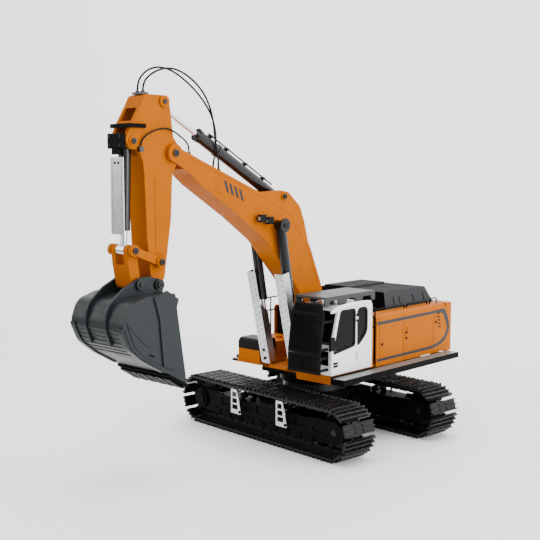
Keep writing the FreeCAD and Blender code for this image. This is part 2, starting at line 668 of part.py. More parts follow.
def handrails():
    """Round black rails on the deck, behind the cab and along the top edges."""
    top, bar = size("body_top"), 1.3
    rails = []
    for low, high in ((-132, -34), (-206, -140)):
        rails.append([(low, 101, top), (low, 101, top + 7), (high, 101, top + 7), (high, 101, top)])
    rails.append([(-238, 101, top), (-238, 101, top + 10), (-216, 101, top + 10), (-216, 101, top)])
    rails.append([(-11.1, 116, 228), (-23, 116, 228), (-23, 116, 192), (-23, 110.6, 192)])
    for x in (-150, -40):
        rails.append([(x - 50, -101, top), (x - 50, -101, top + 8), (x, -101, top + 8), (x, -101, top)])
    rails.append([(30, -105, 158), (30, -105, 229), (-20, -105, 229), (-20, -105, top)])
    solids = [tube(route, bar) for route in rails]
    bar_low = Part.makeCylinder(bar, 47.4, Vector(-17.5, -105, 205), Vector(1, 0, 0))
    post = Part.makeCylinder(bar, 70.9, Vector(5, -105, 158), Vector(0, 0, 1))
    solids[-1] = solids[-1].multiFuse([bar_low, post])
    return feature(Part.makeCompound(solids))


def hydraulics():
    """Pump with its motor, valve block with four spools, and oil tank."""
    pump = fuse(rod(14, 44, (-200, 50, 150), "X"), block((30, 36, 24), (-150, 50, 150)),
                block((60, 22, 10), (-175, 50, 131.1)))
    spools = [rod(3.2, 12, (-100 + 10 * i, 8, 152)) for i in range(4)]
    valves = fuse(block((44, 30, 26), (-85, 8, 139.2)), *spools)
    return group(pump, valves, block((60, 50, 70), (-60, 70, 161.2)))


def body_frame():
    """Top plate between the panels and the bulkhead behind the boom foot."""
    top = span(("deck_rear + 0.4", -87.8, "body_top - skin"), ("body_front - 3", 87.8, "body_top"))
    outline = [(-112, 126), (-112, 205), (-105, 211), (98.5, 211), (105.5, 205), (105.5, 126)]
    bulkhead = plate(outline, 3, "body_front - 7.5", role="YZ_Plane")
    motor_room = span((-30, -18, "deck_top - 1"), (-18, 18, "deck_top + 46"))
    return fuse(top, cut(bulkhead, motor_room))


def build_upper():
    node("upper_deck", upper_deck())
    node("deck_pins", group(both_sides(foot_pins), cross_pin("pin_radius", 30, BOOM_FOOT)))
    node("counterweight", counterweight())
    strip = plate(skin_profile(1, 6, 0.05), "panel_gap + 4.2", "body_front - panel_gap/2 + 2.3",
                  role="YZ_Plane")
    node("side_panels", group(side_panel(1, "body_front - panel_gap"), side_panel(-1, "body_front"), strip))
    node("body_frame", body_frame())
    node("engine_hood", hood())
    node("walkways", group(walkway(1, "deck_front"), walkway(-1, 55)))
    node("walkway_treads", group(tread(1, "deck_front"), tread(-1, 55)))
    node("handrails", handrails())
    lid_side = [(56, 147.2), (98, 147.2), (98, 166, 9), (56, 166, 5)]
    node("storage_box", span((56, -98, "deck_top"), (98, -46, 147)))
    node("storage_box_lid", plate(lid_side, 52, -72))
    tank = span((-14, -112, "deck_top"), (52, -48, 158))
    node("fuel_tank", fuse(tank, rod(6, 5, (20, -70, 157))))
    node("hydraulics", hydraulics())
    receiver = block((36, 26, 14), (-60, -70, 133.2))
    node("electronics", group(block((110, 44, 40), (-160, -40, 146.2)), receiver))


# ---------------------------------------------------------------- cab

def windscreen(low, high, outward, inward, clear):
    """A slab parallel to the sloping screen, between two heights and two depths."""
    face = lambda z: 100 - (z - 172) * WINDSCREEN_SLOPE
    outline = [(face(low) - inward, low), (face(low) + outward, low), (face(high) + outward, high),
               (face(high) - inward, high)]
    return plate(outline, f"cab_left - cab_right - 12 - {clear}", "(cab_left + cab_right)/2")


def cab_shell():
    """A white shell with a sloping front, open at the windows and the door."""
    middle = "(cab_left + cab_right)/2"
    outer = plate(CAB_SIDE, "cab_left - cab_right", middle)
    room = plate(CAB_ROOM, "cab_left - cab_right - 2*cab_wall", middle)
    screens = [windscreen(178, 231, 4, 6, 0), span((95, "cab_right + 6", 142), (102, "cab_left - 6", 166))]
    left = [plate(points, 12, "cab_left") for points in (DOOR_HOLE, QUARTER_WINDOW)]
    right = plate(RIGHT_WINDOW, 12, "cab_right")
    rear = span(("cab_rear - 2", "cab_right + 7", 184), ("cab_rear + 5", "cab_left - 7", 232))
    return fuse(cut(outer, room, *screens, *left, right, rear), *door_hinges())


def pane(points, y):
    """A window pane a little smaller than the opening that it fills."""
    middle = Vector(sum(p[0] for p in points) / len(points), sum(p[1] for p in points) / len(points))
    inside = []
    for point in points:
        shift = (middle - Vector(point[0], point[1])).normalize() * 0.08
        inside.append((point[0] + shift.x, point[1] + shift.y) + tuple(point[2:]))
    return plate(inside, 1.4, y)


def cab_windows():
    """Panes that sit inside the openings, near the outer faces."""
    lower = span((97.6, "cab_right + 6.05", 142.05), (99, "cab_left - 6.05", 165.95))
    rear = span(("cab_rear + 1", "cab_right + 7.05", 184.05), ("cab_rear + 2.4", "cab_left - 7.05", 231.95))
    return group(windscreen(178.05, 230.95, -1, 2.4, 0.1), lower, pane(QUARTER_WINDOW, "cab_left - 1.7"),
                 pane(RIGHT_WINDOW, "cab_right + 1.7"), rear)


def cab_door():
    """A framed door with a pressed grab handle, hinged at its rear edge."""
    slab = plate(DOOR_SIDE, "cab_wall", "cab_left - cab_wall/2")
    opening = plate(DOOR_WINDOW, 12, "cab_left")
    handle = block((9, 1.6, 5), (80, "cab_left", 148))
    knuckles = [rod(1.5, 5, ("door_rear - 0.2", "cab_left + 1.7", z)) for z in (150, 214)]
    leaves = [block((3.2, 1.6, 5), ("door_rear + 1.6", "cab_left + 0.8", z + 2.5)) for z in (150, 214)]
    pin_holes = [rod(0.7, 7, ("door_rear - 0.2", "cab_left + 1.7", z - 1)) for z in (150, 214)]
    return cut(fuse(cut(slab, opening, handle), *knuckles, *leaves), *pin_holes)


def door_hinges():
    """Hinge lugs on the cab's pillar with a pin through each door knuckle."""
    parts = []
    for z in (150, 214):
        parts.append(rod(0.64, 12, ("door_rear - 0.2", "cab_left + 1.7", z - 3.5)))
        for low in (z - 4, z + 5.4):
            parts.append(block((5, 3.4, 3.4), ("door_rear - 2.2", "cab_left + 1.55", low + 1.7)))
    return parts


def grille(points, opening_low, opening_high, y_low, y_high, x):
    """A flat grille: an outline plate at x with a row of upright slots."""
    panel = plate(points, 3, x, role="YZ_Plane")
    pitch, slot = 3.7, 2.2
    count = int((y_high - y_low) // pitch)
    start = (y_low + y_high - (count - 1) * pitch) / 2
    middle, height = (opening_low + opening_high) / 2, opening_high - opening_low
    slots = [block((6, slot, height), (x, start + i * pitch, middle)) for i in range(count)]
    return cut(panel, *slots)


def front_guard():
    """Two-part bar guard in front of the windscreen, on eight stand-offs."""
    upper = [(44, 162.4), (44, 228), (51, 246), (107, 246), (114, 228), (114, 162.4)]
    lower = [(44, 130), (44, 161.8), (114, 161.8), (114, 130)]
    crown = [block((6, 2.2, 11), ("guard_x", 55.5 + 3.7 * i, 237)) for i in range(14)]
    top_part = cut(grille(upper, 166, 226, 46.5, 111.5, "guard_x"), *crown)
    lean = Rotation(Vector(0, -1, 0), 8)
    foot = Vector(size("guard_x"), 0, 162.4)
    top_part.Placement = Placement(foot - lean.multVec(foot), lean)
    bottom_part = grille(lower, 133.5, 158.5, 46.5, 111.5, "guard_x")
    top_stays = [span((low, y, z), (high, y + 4, z + 4)) for y in (45, 109)
                 for low, high, z in ((100.4, 120, 168), (88.4, 114, 214))]
    low_stays = [span((100.1, y, z), (121, y + 4, z + 4)) for y in (45, 109) for z in (134, 154)]
    return group(fuse(top_part, *top_stays), fuse(bottom_part, *low_stays))


def roof_guard():
    """Falling-object guard: a slab on two side skirts with arched openings."""
    slab = span((-33, 43.5, 252.5), (104, 108, 256))
    skirts = [span((-33, y, 240.05), (104, y + 2.5, 252.6)) for y in (43.5, 105.5)]
    tools = []
    for middle in (-10, 35, 80):
        arch = [(middle - 15, 239), (middle - 10, 249, 3), (middle + 10, 249, 3), (middle + 15, 239)]
        tools.append(plate(arch, 80, 76))
    return cut(fuse(slab, *skirts), *tools)


def cab_interior():
    """Seat on its post, two lever consoles and the pedals."""
    seat = fuse(block((34, 30, 12), (24, 81, 147)), block((9, 30, 44), (8, 81, 172)),
                block((8, 18, 12), (8, 81, 199)), rod(7, 12.2, (24, 81, 129)))
    consoles = []
    for y in (60, 102):
        lever = fuse(rod(0.9, 9, (42, y, 154.5)), rod(2, 6, (42, y, 163)))
        consoles.append(fuse(block((30, 8, 26), (32, y, 142)), lever))
    pedals = [block((3, 5, 20), (84, y, 142)) for y in (73, 89)]
    return group(seat, *consoles, fuse(block((14, 34, 4), (84, 81, 131)), *pedals))


def mirror():
    stem = Part.makeCylinder(1.1, 2.5, Vector(98.2, 119.1, 172), Vector(0, 1, 0))
    return feature(stem.fuse(Part.makeBox(11, 4.5, 22, Vector(97.4, 120.5, 169))))


def build_cab():
    node("cab_shell", cab_shell())
    node("cab_windows", cab_windows())
    node("cab_door", cab_door())
    node("cab_door_window", pane(DOOR_WINDOW, "cab_left - 1.7"))
    node("cab_guards", group(front_guard(), roof_guard()))
    node("cab_interior", cab_interior())
    node("mirror", mirror())


# ---------------------------------------------------------------- boom, stick and bucket

def boom():
    """Hollow boom with cylinder lugs on its hump and a fork for the stick."""
    parts = [hollow_box(BOOM_BOX, BOOM_CAVITY, "2*boom_half", "boom_wall"),
             cross_pin(16, "boom_half", BOOM_FOOT)]
    for side in (1, -1):
        parts.append(plate(BOOM_LUG, 5, f"{side}*(boom_half - 2.5)"))
        parts.append(plate(BOOM_FORK, "boom_half - fork_inner", f"{side}*(boom_half + fork_inner)/2"))
        parts.append(cross_pin(13.5, 3.2, BOOM_TIP, f"{side}*(fork_inner + 3.2)"))
        parts.append(cross_pin(10, 1.4, BOOM_CYL_TOP, f"{side}*(boom_half + 0.3)"))
        parts.append(cross_pin(7, 1.5, STICK_CYL_BASE, f"{side}*(boom_half + 0.5)"))
    tools = [cross_pin("pin_radius + fit_gap", 30, BOOM_FOOT), cross_pin(3.52, 40, STICK_CYL_BASE),
             cross_pin("pin_radius + 0.02", 40, BOOM_TIP), cross_pin("pin_radius + 0.02", 40, BOOM_CYL_TOP)]
    return cut(fuse(*parts), *tools)


def along_axis(start, end, y=0):
    """Placement whose x axis runs from one side-view point to another."""
    angle = math.degrees(math.atan2(end[1] - start[1], end[0] - start[0]))
    return Placement(Vector(start[0], y, start[1]), Rotation(Vector(0, -1, 0), angle))


def on_axis(radius, low, high):
    """A cylinder along the local x axis."""
    return Part.makeCylinder(radius, high - low, Vector(low, 0, 0), Vector(1, 0, 0))


def eye(radius, half, x, bore):
    """A rod or barrel eye across the local axis, with its pin bore."""
    ring = Part.makeCylinder(radius, 2 * half, Vector(x, -half, 0), Vector(0, 1, 0))
    return ring, Part.makeCylinder(bore, 4 * half, Vector(x, -2 * half, 0), Vector(0, 1, 0))


def barrel(start, end, length, radius, rod_radius, eye_radius, eye_half, bore, bore_start, y=0, rings=()):
    """A cylinder barrel with an eye at its start and a blind bore for its rod."""
    ring, hole = eye(eye_radius, eye_half, 0, bore)
    solid = on_axis(radius, eye_radius * 0.6, length).fuse(ring)
    for low, high, ring_radius in rings:
        solid = solid.fuse(on_axis(ring_radius, low, high))
    solid = solid.cut(hole).cut(on_axis(rod_radius + size("fit_gap"), bore_start, length + 5))
    solid.Placement = along_axis(start, end, y)
    return solid


def piston_rod(start, end, inner_end, radius, eye_radius, eye_half, bore, y=0):
    """A chrome rod from inside its barrel to the eye at its far end."""
    reach = math.hypot(end[0] - start[0], end[1] - start[1])
    ring, hole = eye(eye_radius, eye_half, reach, bore)
    solid = on_axis(radius, inner_end, reach - eye_radius * 0.5).fuse(ring).cut(hole)
    solid.Placement = along_axis(start, end, y)
    return solid


def rod_guard(side):
    """A perforated channel that shields the boom cylinder's rod from in front."""
    (x0, z0), (x1, z1) = GUARD_WEB
    length = math.hypot(x1 - x0, z1 - z0)
    half, sheet_t = size("guard_half"), size("guard_sheet")
    web = Part.makeBox(length, 2 * half, sheet_t, Vector(0, -half, 0))
    outer_low = half - sheet_t if side > 0 else -half
    inner_low = -half if side > 0 else half - sheet_t
    outer = Part.makeBox(length, sheet_t, GUARD_DEPTH, Vector(0, outer_low, 0))
    profile = [Vector(0, inner_low, 0), Vector(112, inner_low, 0), Vector(92, inner_low, GUARD_DEPTH),
               Vector(0, inner_low, GUARD_DEPTH)]
    inner = Part.Face(Part.makePolygon(profile + profile[:1])).extrude(Vector(0, sheet_t, 0))
    channel = web.multiFuse([outer, inner])
    holes = []
    for i in range(15):
        for row in (-1, 1):
            at = Vector(9 + i * 10.5 + 2.6 * row, row * 4.4, -1)
            holes.append(Part.makeCylinder(0.9, 4, at, Vector(0, 0, 1)))
    for x in (9.5, 23):
        holes.append(Part.makeCylinder(1.6, 4, Vector(x, 0, -1), Vector(0, 0, 1)))
    channel = channel.cut(Part.makeCompound(holes))
    angle = math.degrees(math.atan2(z1 - z0, x1 - x0))
    foot = Vector(x0, side * size("cylinder_y"), z0)
    channel.Placement = Placement(foot, Rotation(Vector(0, -1, 0), angle))
    return channel


def guard_tie(side):
    """The block and two screws that tie a rod guard to the rod's eye."""
    y = side * size("cylinder_y")
    block_body = prism([(88, 132), (96.9, 134.5), (99.4, 145), (86.5, 141.5)], y - 3.4, y + 3.4)
    (x0, z0), (x1, z1) = GUARD_WEB
    angle = math.atan2(z1 - z0, x1 - x0)
    normal = Vector(math.sin(angle), 0, -math.cos(angle))
    head_at = Vector(x0 + 9.5 * math.cos(angle), y, z0 + 9.5 * math.sin(angle))
    screw = Part.makeCylinder(1.4, 5, head_at - normal * 3.6, normal)
    head = Part.makeCylinder(2.4, 1.2, head_at + normal * 0.1, normal)
    return block_body.multiFuse([screw, head])


def boom_rod(side):
    y = side * size("cylinder_y")
    solid = piston_rod(BOOM_CYL_TOP, BOOM_CYL_FOOT, 57, size("boom_rod_radius"), 6, 3.6, 3, y)
    return solid.fuse(guard_tie(side))


def boom_barrel(side):
    y = side * size("cylinder_y")
    return barrel(BOOM_CYL_TOP, BOOM_CYL_FOOT, 133, size("boom_barrel_radius"), size("boom_rod_radius"),
                  8.4, 7.6, 4.06, 11, y)


def bucket_shield():
    """A flat plate in front of the bucket cylinder on a short bridge."""
    shield = prism([(441.9, 371), (443.3, 371), (443.3, 482), (441.9, 482)], -14.5, 14.5)
    bridge = prism([(438.7, 468), (442, 468), (442, 480), (438.7, 480)], -5, 5)
    return shield.fuse(bridge)


def build_cylinders():
    """Boom cylinders hang from the boom; the others lie in the middle plane."""
    sides = (1, -1)
    node("boom_cylinder_barrels", feature(Part.makeCompound([boom_barrel(side) for side in sides])))
    node("boom_cylinder_rods", feature(Part.makeCompound([boom_rod(side) for side in sides])))
    node("boom_rod_guards", feature(Part.makeCompound([rod_guard(side) for side in sides])))
    rings = ((150, 156, 10.6), (196, 203, 10.8))
    node("stick_cylinder_barrel", feature(barrel(
        STICK_CYL_BASE, STICK_CYL_EYE, 203, size("stick_barrel_radius"), size("stick_rod_radius"),
        9, 9, 3.56, 14, rings=rings)))
    node("stick_cylinder_rod", feature(piston_rod(
        STICK_CYL_BASE, STICK_CYL_EYE, 96, size("stick_rod_radius"), 8, 7, 3.5)))
    node("bucket_cylinder_barrel", feature(barrel(
        BUCKET_CYL_TOP, LINK_PIVOT, 129, size("bucket_barrel_radius"), size("bucket_rod_radius"),
        10, 10, 3.56, 14)))
    node("bucket_cylinder_rod", feature(piston_rod(
        BUCKET_CYL_TOP, LINK_PIVOT, 70, size("bucket_rod_radius"), 8, 8.6, 3.5)))
    node("bucket_cylinder_shield", feature(bucket_shield()))


def stick():
    """Hollow stick: open at its head for two cylinders, with a boss at its foot."""
    parts = [hollow_box(STICK_SIDE, STICK_CAVITY, "2*stick_half", "stick_wall"),
             cross_pin(13.5, "stick_half", BOOM_TIP), cross_pin(9.2, "ear_inner - 0.6", BUCKET_PIVOT),
             cross_pin(9, "arm_inner - 0.5", ROCKER_PIVOT)]
    for side in (1, -1):
        parts.append(cross_pin(9, 1.5, STICK_CYL_EYE, f"{side}*(stick_half + 1.2)"))
        parts.append(cross_pin(7.5, 1.2, BUCKET_CYL_TOP, f"{side}*(stick_half + 0.8)"))
    tools = [span((336, -9.4, 536), (387, 9.4, 580)), span((413, -11.8, 480), (446, 11.8, 524)),
             span((409, -12.5, 534), (432, 12.5, 553)), span((440, -20, 490), (450, 20, 520)),
             cross_pin("pin_radius + fit_gap", 40, BOOM_TIP),
             cross_pin("pin_radius + fit_gap", 40, BUCKET_PIVOT),
             cross_pin(3.56, 40, ROCKER_PIVOT), cross_pin(3.52, 40, BUCKET_CYL_TOP),
             cross_pin(3.52, 40, STICK_CYL_EYE)]
    return cut(fuse(*parts), *tools)


def eye_stubs(point, radius, inner, outer):
    """Two short pins in the ears beside an open pivot."""
    length = outer - inner
    return group(rod(radius, length, (point[0], inner, point[1]), "Y"),
                 rod(radius, length, (point[0], -outer, point[1]), "Y"))


def rocker_arm(side):
    """One rocker arm: a boss at each end and a welded stub pin for the link."""
    (x0, z0), (x1, z1) = ROCKER_PIVOT, LINK_PIVOT
    length = math.hypot(x1 - x0, z1 - z0)
    y = f"{side}*(arm_inner + arm_outer)/2"
    nx, nz = -(z1 - z0) / length * 6, (x1 - x0) / length * 6
    web = plate([(x0 + nx, z0 + nz), (x1 + nx, z1 + nz), (x1 - nx, z1 - nz), (x0 - nx, z0 - nz)],
                "arm_outer - arm_inner", y)
    bosses = [cross_pin(8.5, 3.6, p, f"{side}*(arm_inner + 3.6)") for p in (ROCKER_PIVOT, LINK_PIVOT)]
    bores = [cross_pin(3.56, 10, ROCKER_PIVOT, y)]
    low = "9.9" if side > 0 else "-28.4"
    stub = rod(3.5, 18.5, (x1, low, z1), "Y")
    return fuse(cut(fuse(web, *bosses), *bores), stub)


def link():
    """Bucket link: a box with a slot at its top for the rod's eye."""
    body = fuse(plate(LINK_SIDE, "2*link_half"), cross_pin(8.5, "link_half", LINK_PIVOT),
                cross_pin(8.5, "link_half", BUCKET_LINK_PIVOT))
    slot = span((410, "-link_slot", 327), (450, "link_slot", 360))
    return cut(body, slot, cross_pin(3.56, 30, LINK_PIVOT), cross_pin(3.4, 30, BUCKET_LINK_PIVOT))


def bucket():
    """Bucket shell with side cutters, ears and bosses."""
    shell = plate(BUCKET_OUTER, "2*bucket_half")
    doc.recompute()
    hollow = shell.newObject("PartDesign::Pocket", "hollow")
    hollow.Profile = sketch(shell, "XZ_Plane", BUCKET_INNER)
    hollow.Midplane = True
    bind(hollow, "Length", "2*bucket_half - 2*bucket_wall")
    parts = [shell]
    for side in (1, -1):
        parts.append(plate(SIDE_CUTTER, 2.8, f"{side}*(bucket_half + 1.2)"))
        parts.append(plate(BUCKET_EAR, "ear_outer - ear_inner", f"{side}*(ear_inner + ear_outer)/2"))
        for point in (BUCKET_PIVOT, BUCKET_LINK_PIVOT):
            parts.append(cross_pin(8.2, 2.5, point, f"{side}*(ear_outer + 1.5)"))
    bores = [cross_pin("pin_radius + 0.02", 40, BUCKET_PIVOT), cross_pin(3.42, 40, BUCKET_LINK_PIVOT)]
    return cut(fuse(*parts), *bores)


def edge_segments():
    """Wear blocks bolted under the cutting edge."""
    blocks = []
    for i in range(6):
        y = -49 + i * 19.6
        side = [(368, 143), (397, 161.6), (398.6, 158.7), (371, 141.2)]
        blocks.append(prism(side, y - 7.5, y + 7.5))
    return feature(Part.makeCompound(blocks))


def boom_pins():
    """Pins that the boom holds, and the collars that keep the boom cylinders on."""
    collars = []
    for side in (1, -1):
        ring = cross_pin(11.5, 1.5, BOOM_CYL_TOP, f"{side}*42")
        collars.append(cut(ring, cross_pin("pin_radius + 0.02", 3, BOOM_CYL_TOP, f"{side}*42")))
    pins = [cross_pin("pin_radius", 44, BOOM_CYL_TOP), cross_pin("pin_radius", 27.5, BOOM_TIP),
            cross_pin(3.5, 25.5, STICK_CYL_BASE)]
    return group(*pins, *collars)


def boom_lamps():
    """Two work lamps on each flank of the boom."""
    lamps = []
    for side in (1, -1):
        for x, z in ((152, 382), (170, 386)):
            bracket = block((5, 9, 6), (x, f"{side}*(boom_half + 4.55)", z))
            lamps.append(fuse(bracket, block((13, 8, 12), (x + 2, f"{side}*(boom_half + 9)", z))))
    return group(*lamps)


def stick_pins():
    """Bucket cylinder pin, rocker pin and the stubs beside the stick cylinder's eye."""
    return group(cross_pin(3.5, 21.5, BUCKET_CYL_TOP), cross_pin(3.5, 29.5, ROCKER_PIVOT),
                 eye_stubs(STICK_CYL_EYE, 3.5, 9.5, 23))


def stick_bracket():
    """A U-shaped strap round the stick, and the valve block on its nose with a connector."""
    strap = cut(block((31, 44, 6), (421.5, 0, 527)), block((30, 37.6, 8), (418, 0, 527)))
    valve = plate([(440.1, 494), (446, 494, 2), (446, 516, 2), (440.1, 516)], 34)
    connector = block((4.6, 15, 8.5), (443.6, 0, 490))
    return group(strap, fuse(valve, connector))


def build_front():
    node("boom", boom())
    node("boom_lamps", boom_lamps())
    node("boom_pins", boom_pins())
    node("stick", stick())
    node("stick_pins", stick_pins())
    node("stick_bracket", stick_bracket())
    node("rocker_arms", both_sides(rocker_arm))
    node("bucket_link", link())
    node("bucket", bucket())
    pins = group(cross_pin("pin_radius", 30.5, BUCKET_PIVOT), eye_stubs(BUCKET_LINK_PIVOT, 3.4, 19.2, 30.5))
    node("bucket_pins", pins)
    node("bucket_edge", group(plate(CUTTING_EDGE, "2*bucket_half"), edge_segments()))


def build_hoses():
    """Glands, then the three hoses that cross from the stick to the boom."""
    top_gland = [block((13, 22, 3.4), (398, 0, 574.8))]
    top_gland += [cone(3.6, 2.6, 2.7, (398, y, 576.3)) for y in (6.2, -6.2)]
    sockets = [rod("hose_radius + 0.1", 5, (398, y, 577.4)) for y in (6.2, -6.2)]
    pilot_socket = rod("pilot_hose_radius + 0.1", 5, (416, 21.6, 495.7))
    side_gland = cut(block((8, 5.6, 7), (416, 21.5, 493.5)), pilot_socket)
    node("stick_hose_glands", group(cut(fuse(*top_gland), *sockets), side_gland))
    boom_glands = []
    for x, y, z in (HOSE_A[-1], HOSE_B[-1], PILOT_HOSE[-1]):
        boom_glands.append(cut(rod(3, 3.6, (x, y, z - 1.8)), rod("hose_radius + 0.1", 5, (x, y, z - 0.1))))
    node("boom_hose_glands", group(*boom_glands))
    routes = (("hose_a", HOSE_A, "hose_radius"), ("hose_b", HOSE_B, "hose_radius"),
              ("pilot_hose", PILOT_HOSE, "pilot_hose_radius"))
    for name, route, radius in routes:
        node(name, feature(tube(route, size(radius), name)))


def check_document():
    """Stop on any failed object or any null or invalid sub-part."""
    doc.recompute()
    failed = [o.Name for o in doc.Objects if "Invalid" in o.State or "Error" in o.State]
    failed += [n.Label for n in nodes if n.Shape.isNull() or not n.Shape.isValid() or not n.Shape.Solids]
    if failed:
        raise SystemExit(f"failed: {failed}")


def export():
    os.makedirs("parts", exist_ok=True)
    for obj in nodes:
        obj.Shape.exportStep(f"parts/{obj.Label}.step")
    print(len(nodes), "nodes")


fill_sheet()
build_undercarriage()
build_swing()
build_upper()
build_cab()
build_front()
build_cylinders()
build_hoses()
check_document()
export()
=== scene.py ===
import json
import math

import bmesh
import bpy
from mathutils import Matrix, Vector


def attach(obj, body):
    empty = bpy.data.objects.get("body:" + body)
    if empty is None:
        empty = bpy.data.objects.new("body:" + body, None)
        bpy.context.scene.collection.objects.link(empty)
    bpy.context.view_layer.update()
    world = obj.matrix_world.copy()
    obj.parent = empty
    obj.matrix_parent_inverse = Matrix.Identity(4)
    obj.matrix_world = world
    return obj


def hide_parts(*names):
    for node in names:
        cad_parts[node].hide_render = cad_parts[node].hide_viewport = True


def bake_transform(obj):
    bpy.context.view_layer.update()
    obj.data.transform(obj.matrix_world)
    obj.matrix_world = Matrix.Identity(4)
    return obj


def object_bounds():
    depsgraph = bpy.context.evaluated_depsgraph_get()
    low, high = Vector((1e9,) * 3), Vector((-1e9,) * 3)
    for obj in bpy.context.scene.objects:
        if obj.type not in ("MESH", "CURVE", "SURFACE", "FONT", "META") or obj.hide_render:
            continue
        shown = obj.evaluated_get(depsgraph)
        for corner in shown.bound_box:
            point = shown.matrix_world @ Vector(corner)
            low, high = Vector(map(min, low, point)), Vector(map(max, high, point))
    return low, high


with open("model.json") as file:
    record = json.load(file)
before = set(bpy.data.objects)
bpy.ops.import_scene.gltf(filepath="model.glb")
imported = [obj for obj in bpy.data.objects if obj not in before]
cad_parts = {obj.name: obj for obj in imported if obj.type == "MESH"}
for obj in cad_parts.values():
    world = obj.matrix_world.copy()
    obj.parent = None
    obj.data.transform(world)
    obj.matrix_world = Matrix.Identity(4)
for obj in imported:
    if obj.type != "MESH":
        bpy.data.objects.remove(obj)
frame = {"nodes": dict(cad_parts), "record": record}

LOW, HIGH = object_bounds()
RECORD = frame["record"]
NODES = frame["nodes"]
PIVOTS = {j["name"]: Vector(j["pos_m"]) for j in RECORD["behaviour"]["joints"] if "pos_m" in j}
MM = 0.001

# Faces of the CAD parts that the details sit on, in millimetres from the middle plane.
BODY_HALF = 116.5
CAB_LEFT, CAB_RIGHT = 119, 43
BOOM_HALF, STICK_HALF, BUCKET_HALF = 21.8, 18.6, 60
SIDES = ((1, "left"), (-1, "right"))


# ---------------------------------------------------------------- camera and light

def camera():
    data = bpy.data.cameras.new("camera")
    data.sensor_width = 36
    data.lens = 63.33
    obj = bpy.data.objects.new("camera", data)
    obj.location = (1.2972, 1.0938, 0.4588)
    obj.rotation_euler = Vector((-0.7288, -0.6772, -0.1011)).to_track_quat("-Z", "Y").to_euler()
    bpy.context.scene.collection.objects.link(obj)
    bpy.context.scene.camera = obj


def softbox(name, location, target, width, height, power):
    data = bpy.data.lights.new(name, "AREA")
    data.shape = "RECTANGLE"
    data.size = width
    data.size_y = height
    data.energy = power
    obj = bpy.data.objects.new(name, data)
    obj.location = location
    obj.rotation_euler = (Vector(target) - Vector(location)).to_track_quat("-Z", "Y").to_euler()
    bpy.context.scene.collection.objects.link(obj)


def lights():
    middle = (0.05, 0, 0.25)
    softbox("top_softbox", (0.1, 0.1, 1.9), middle, 1.6, 1.2, 20)
    softbox("left_softbox", (1.9, -0.5, 0.9), middle, 1.0, 1.4, 6)
    softbox("front_card", (1.45, -1.2, 0.95), middle, 0.9, 0.9, 7)
    softbox("right_softbox", (-0.4, 2.1, 0.8), middle, 1.2, 1.2, 28)
    softbox("rear_softbox", (-1.4, -1.2, 1.3), middle, 1.2, 1.0, 12)
    backdrop()


def backdrop():
    """White surroundings, brighter behind the machine than in front of it."""
    world = bpy.data.worlds.new("studio")
    world.use_nodes = True
    tree = world.node_tree
    back = tree.nodes["Background"]
    back.inputs["Color"].default_value = (1, 1, 1, 1)
    where = tree.nodes.new("ShaderNodeTexCoord")
    facing = tree.nodes.new("ShaderNodeVectorMath")
    facing.operation = "DOT_PRODUCT"
    facing.inputs[1].default_value = (-0.97, 0.1, 0.2)
    ramp = tree.nodes.new("ShaderNodeMapRange")
    for name, value in (("From Min", -0.6), ("From Max", 0.6), ("To Min", 0.7), ("To Max", 2.5)):
        ramp.inputs[name].default_value = value
    tree.links.new(where.outputs["Generated"], facing.inputs[0])
    tree.links.new(facing.outputs["Value"], ramp.inputs["Value"])
    tree.links.new(ramp.outputs["Result"], back.inputs["Strength"])
    bpy.context.scene.world = world


# ---------------------------------------------------------------- node materials

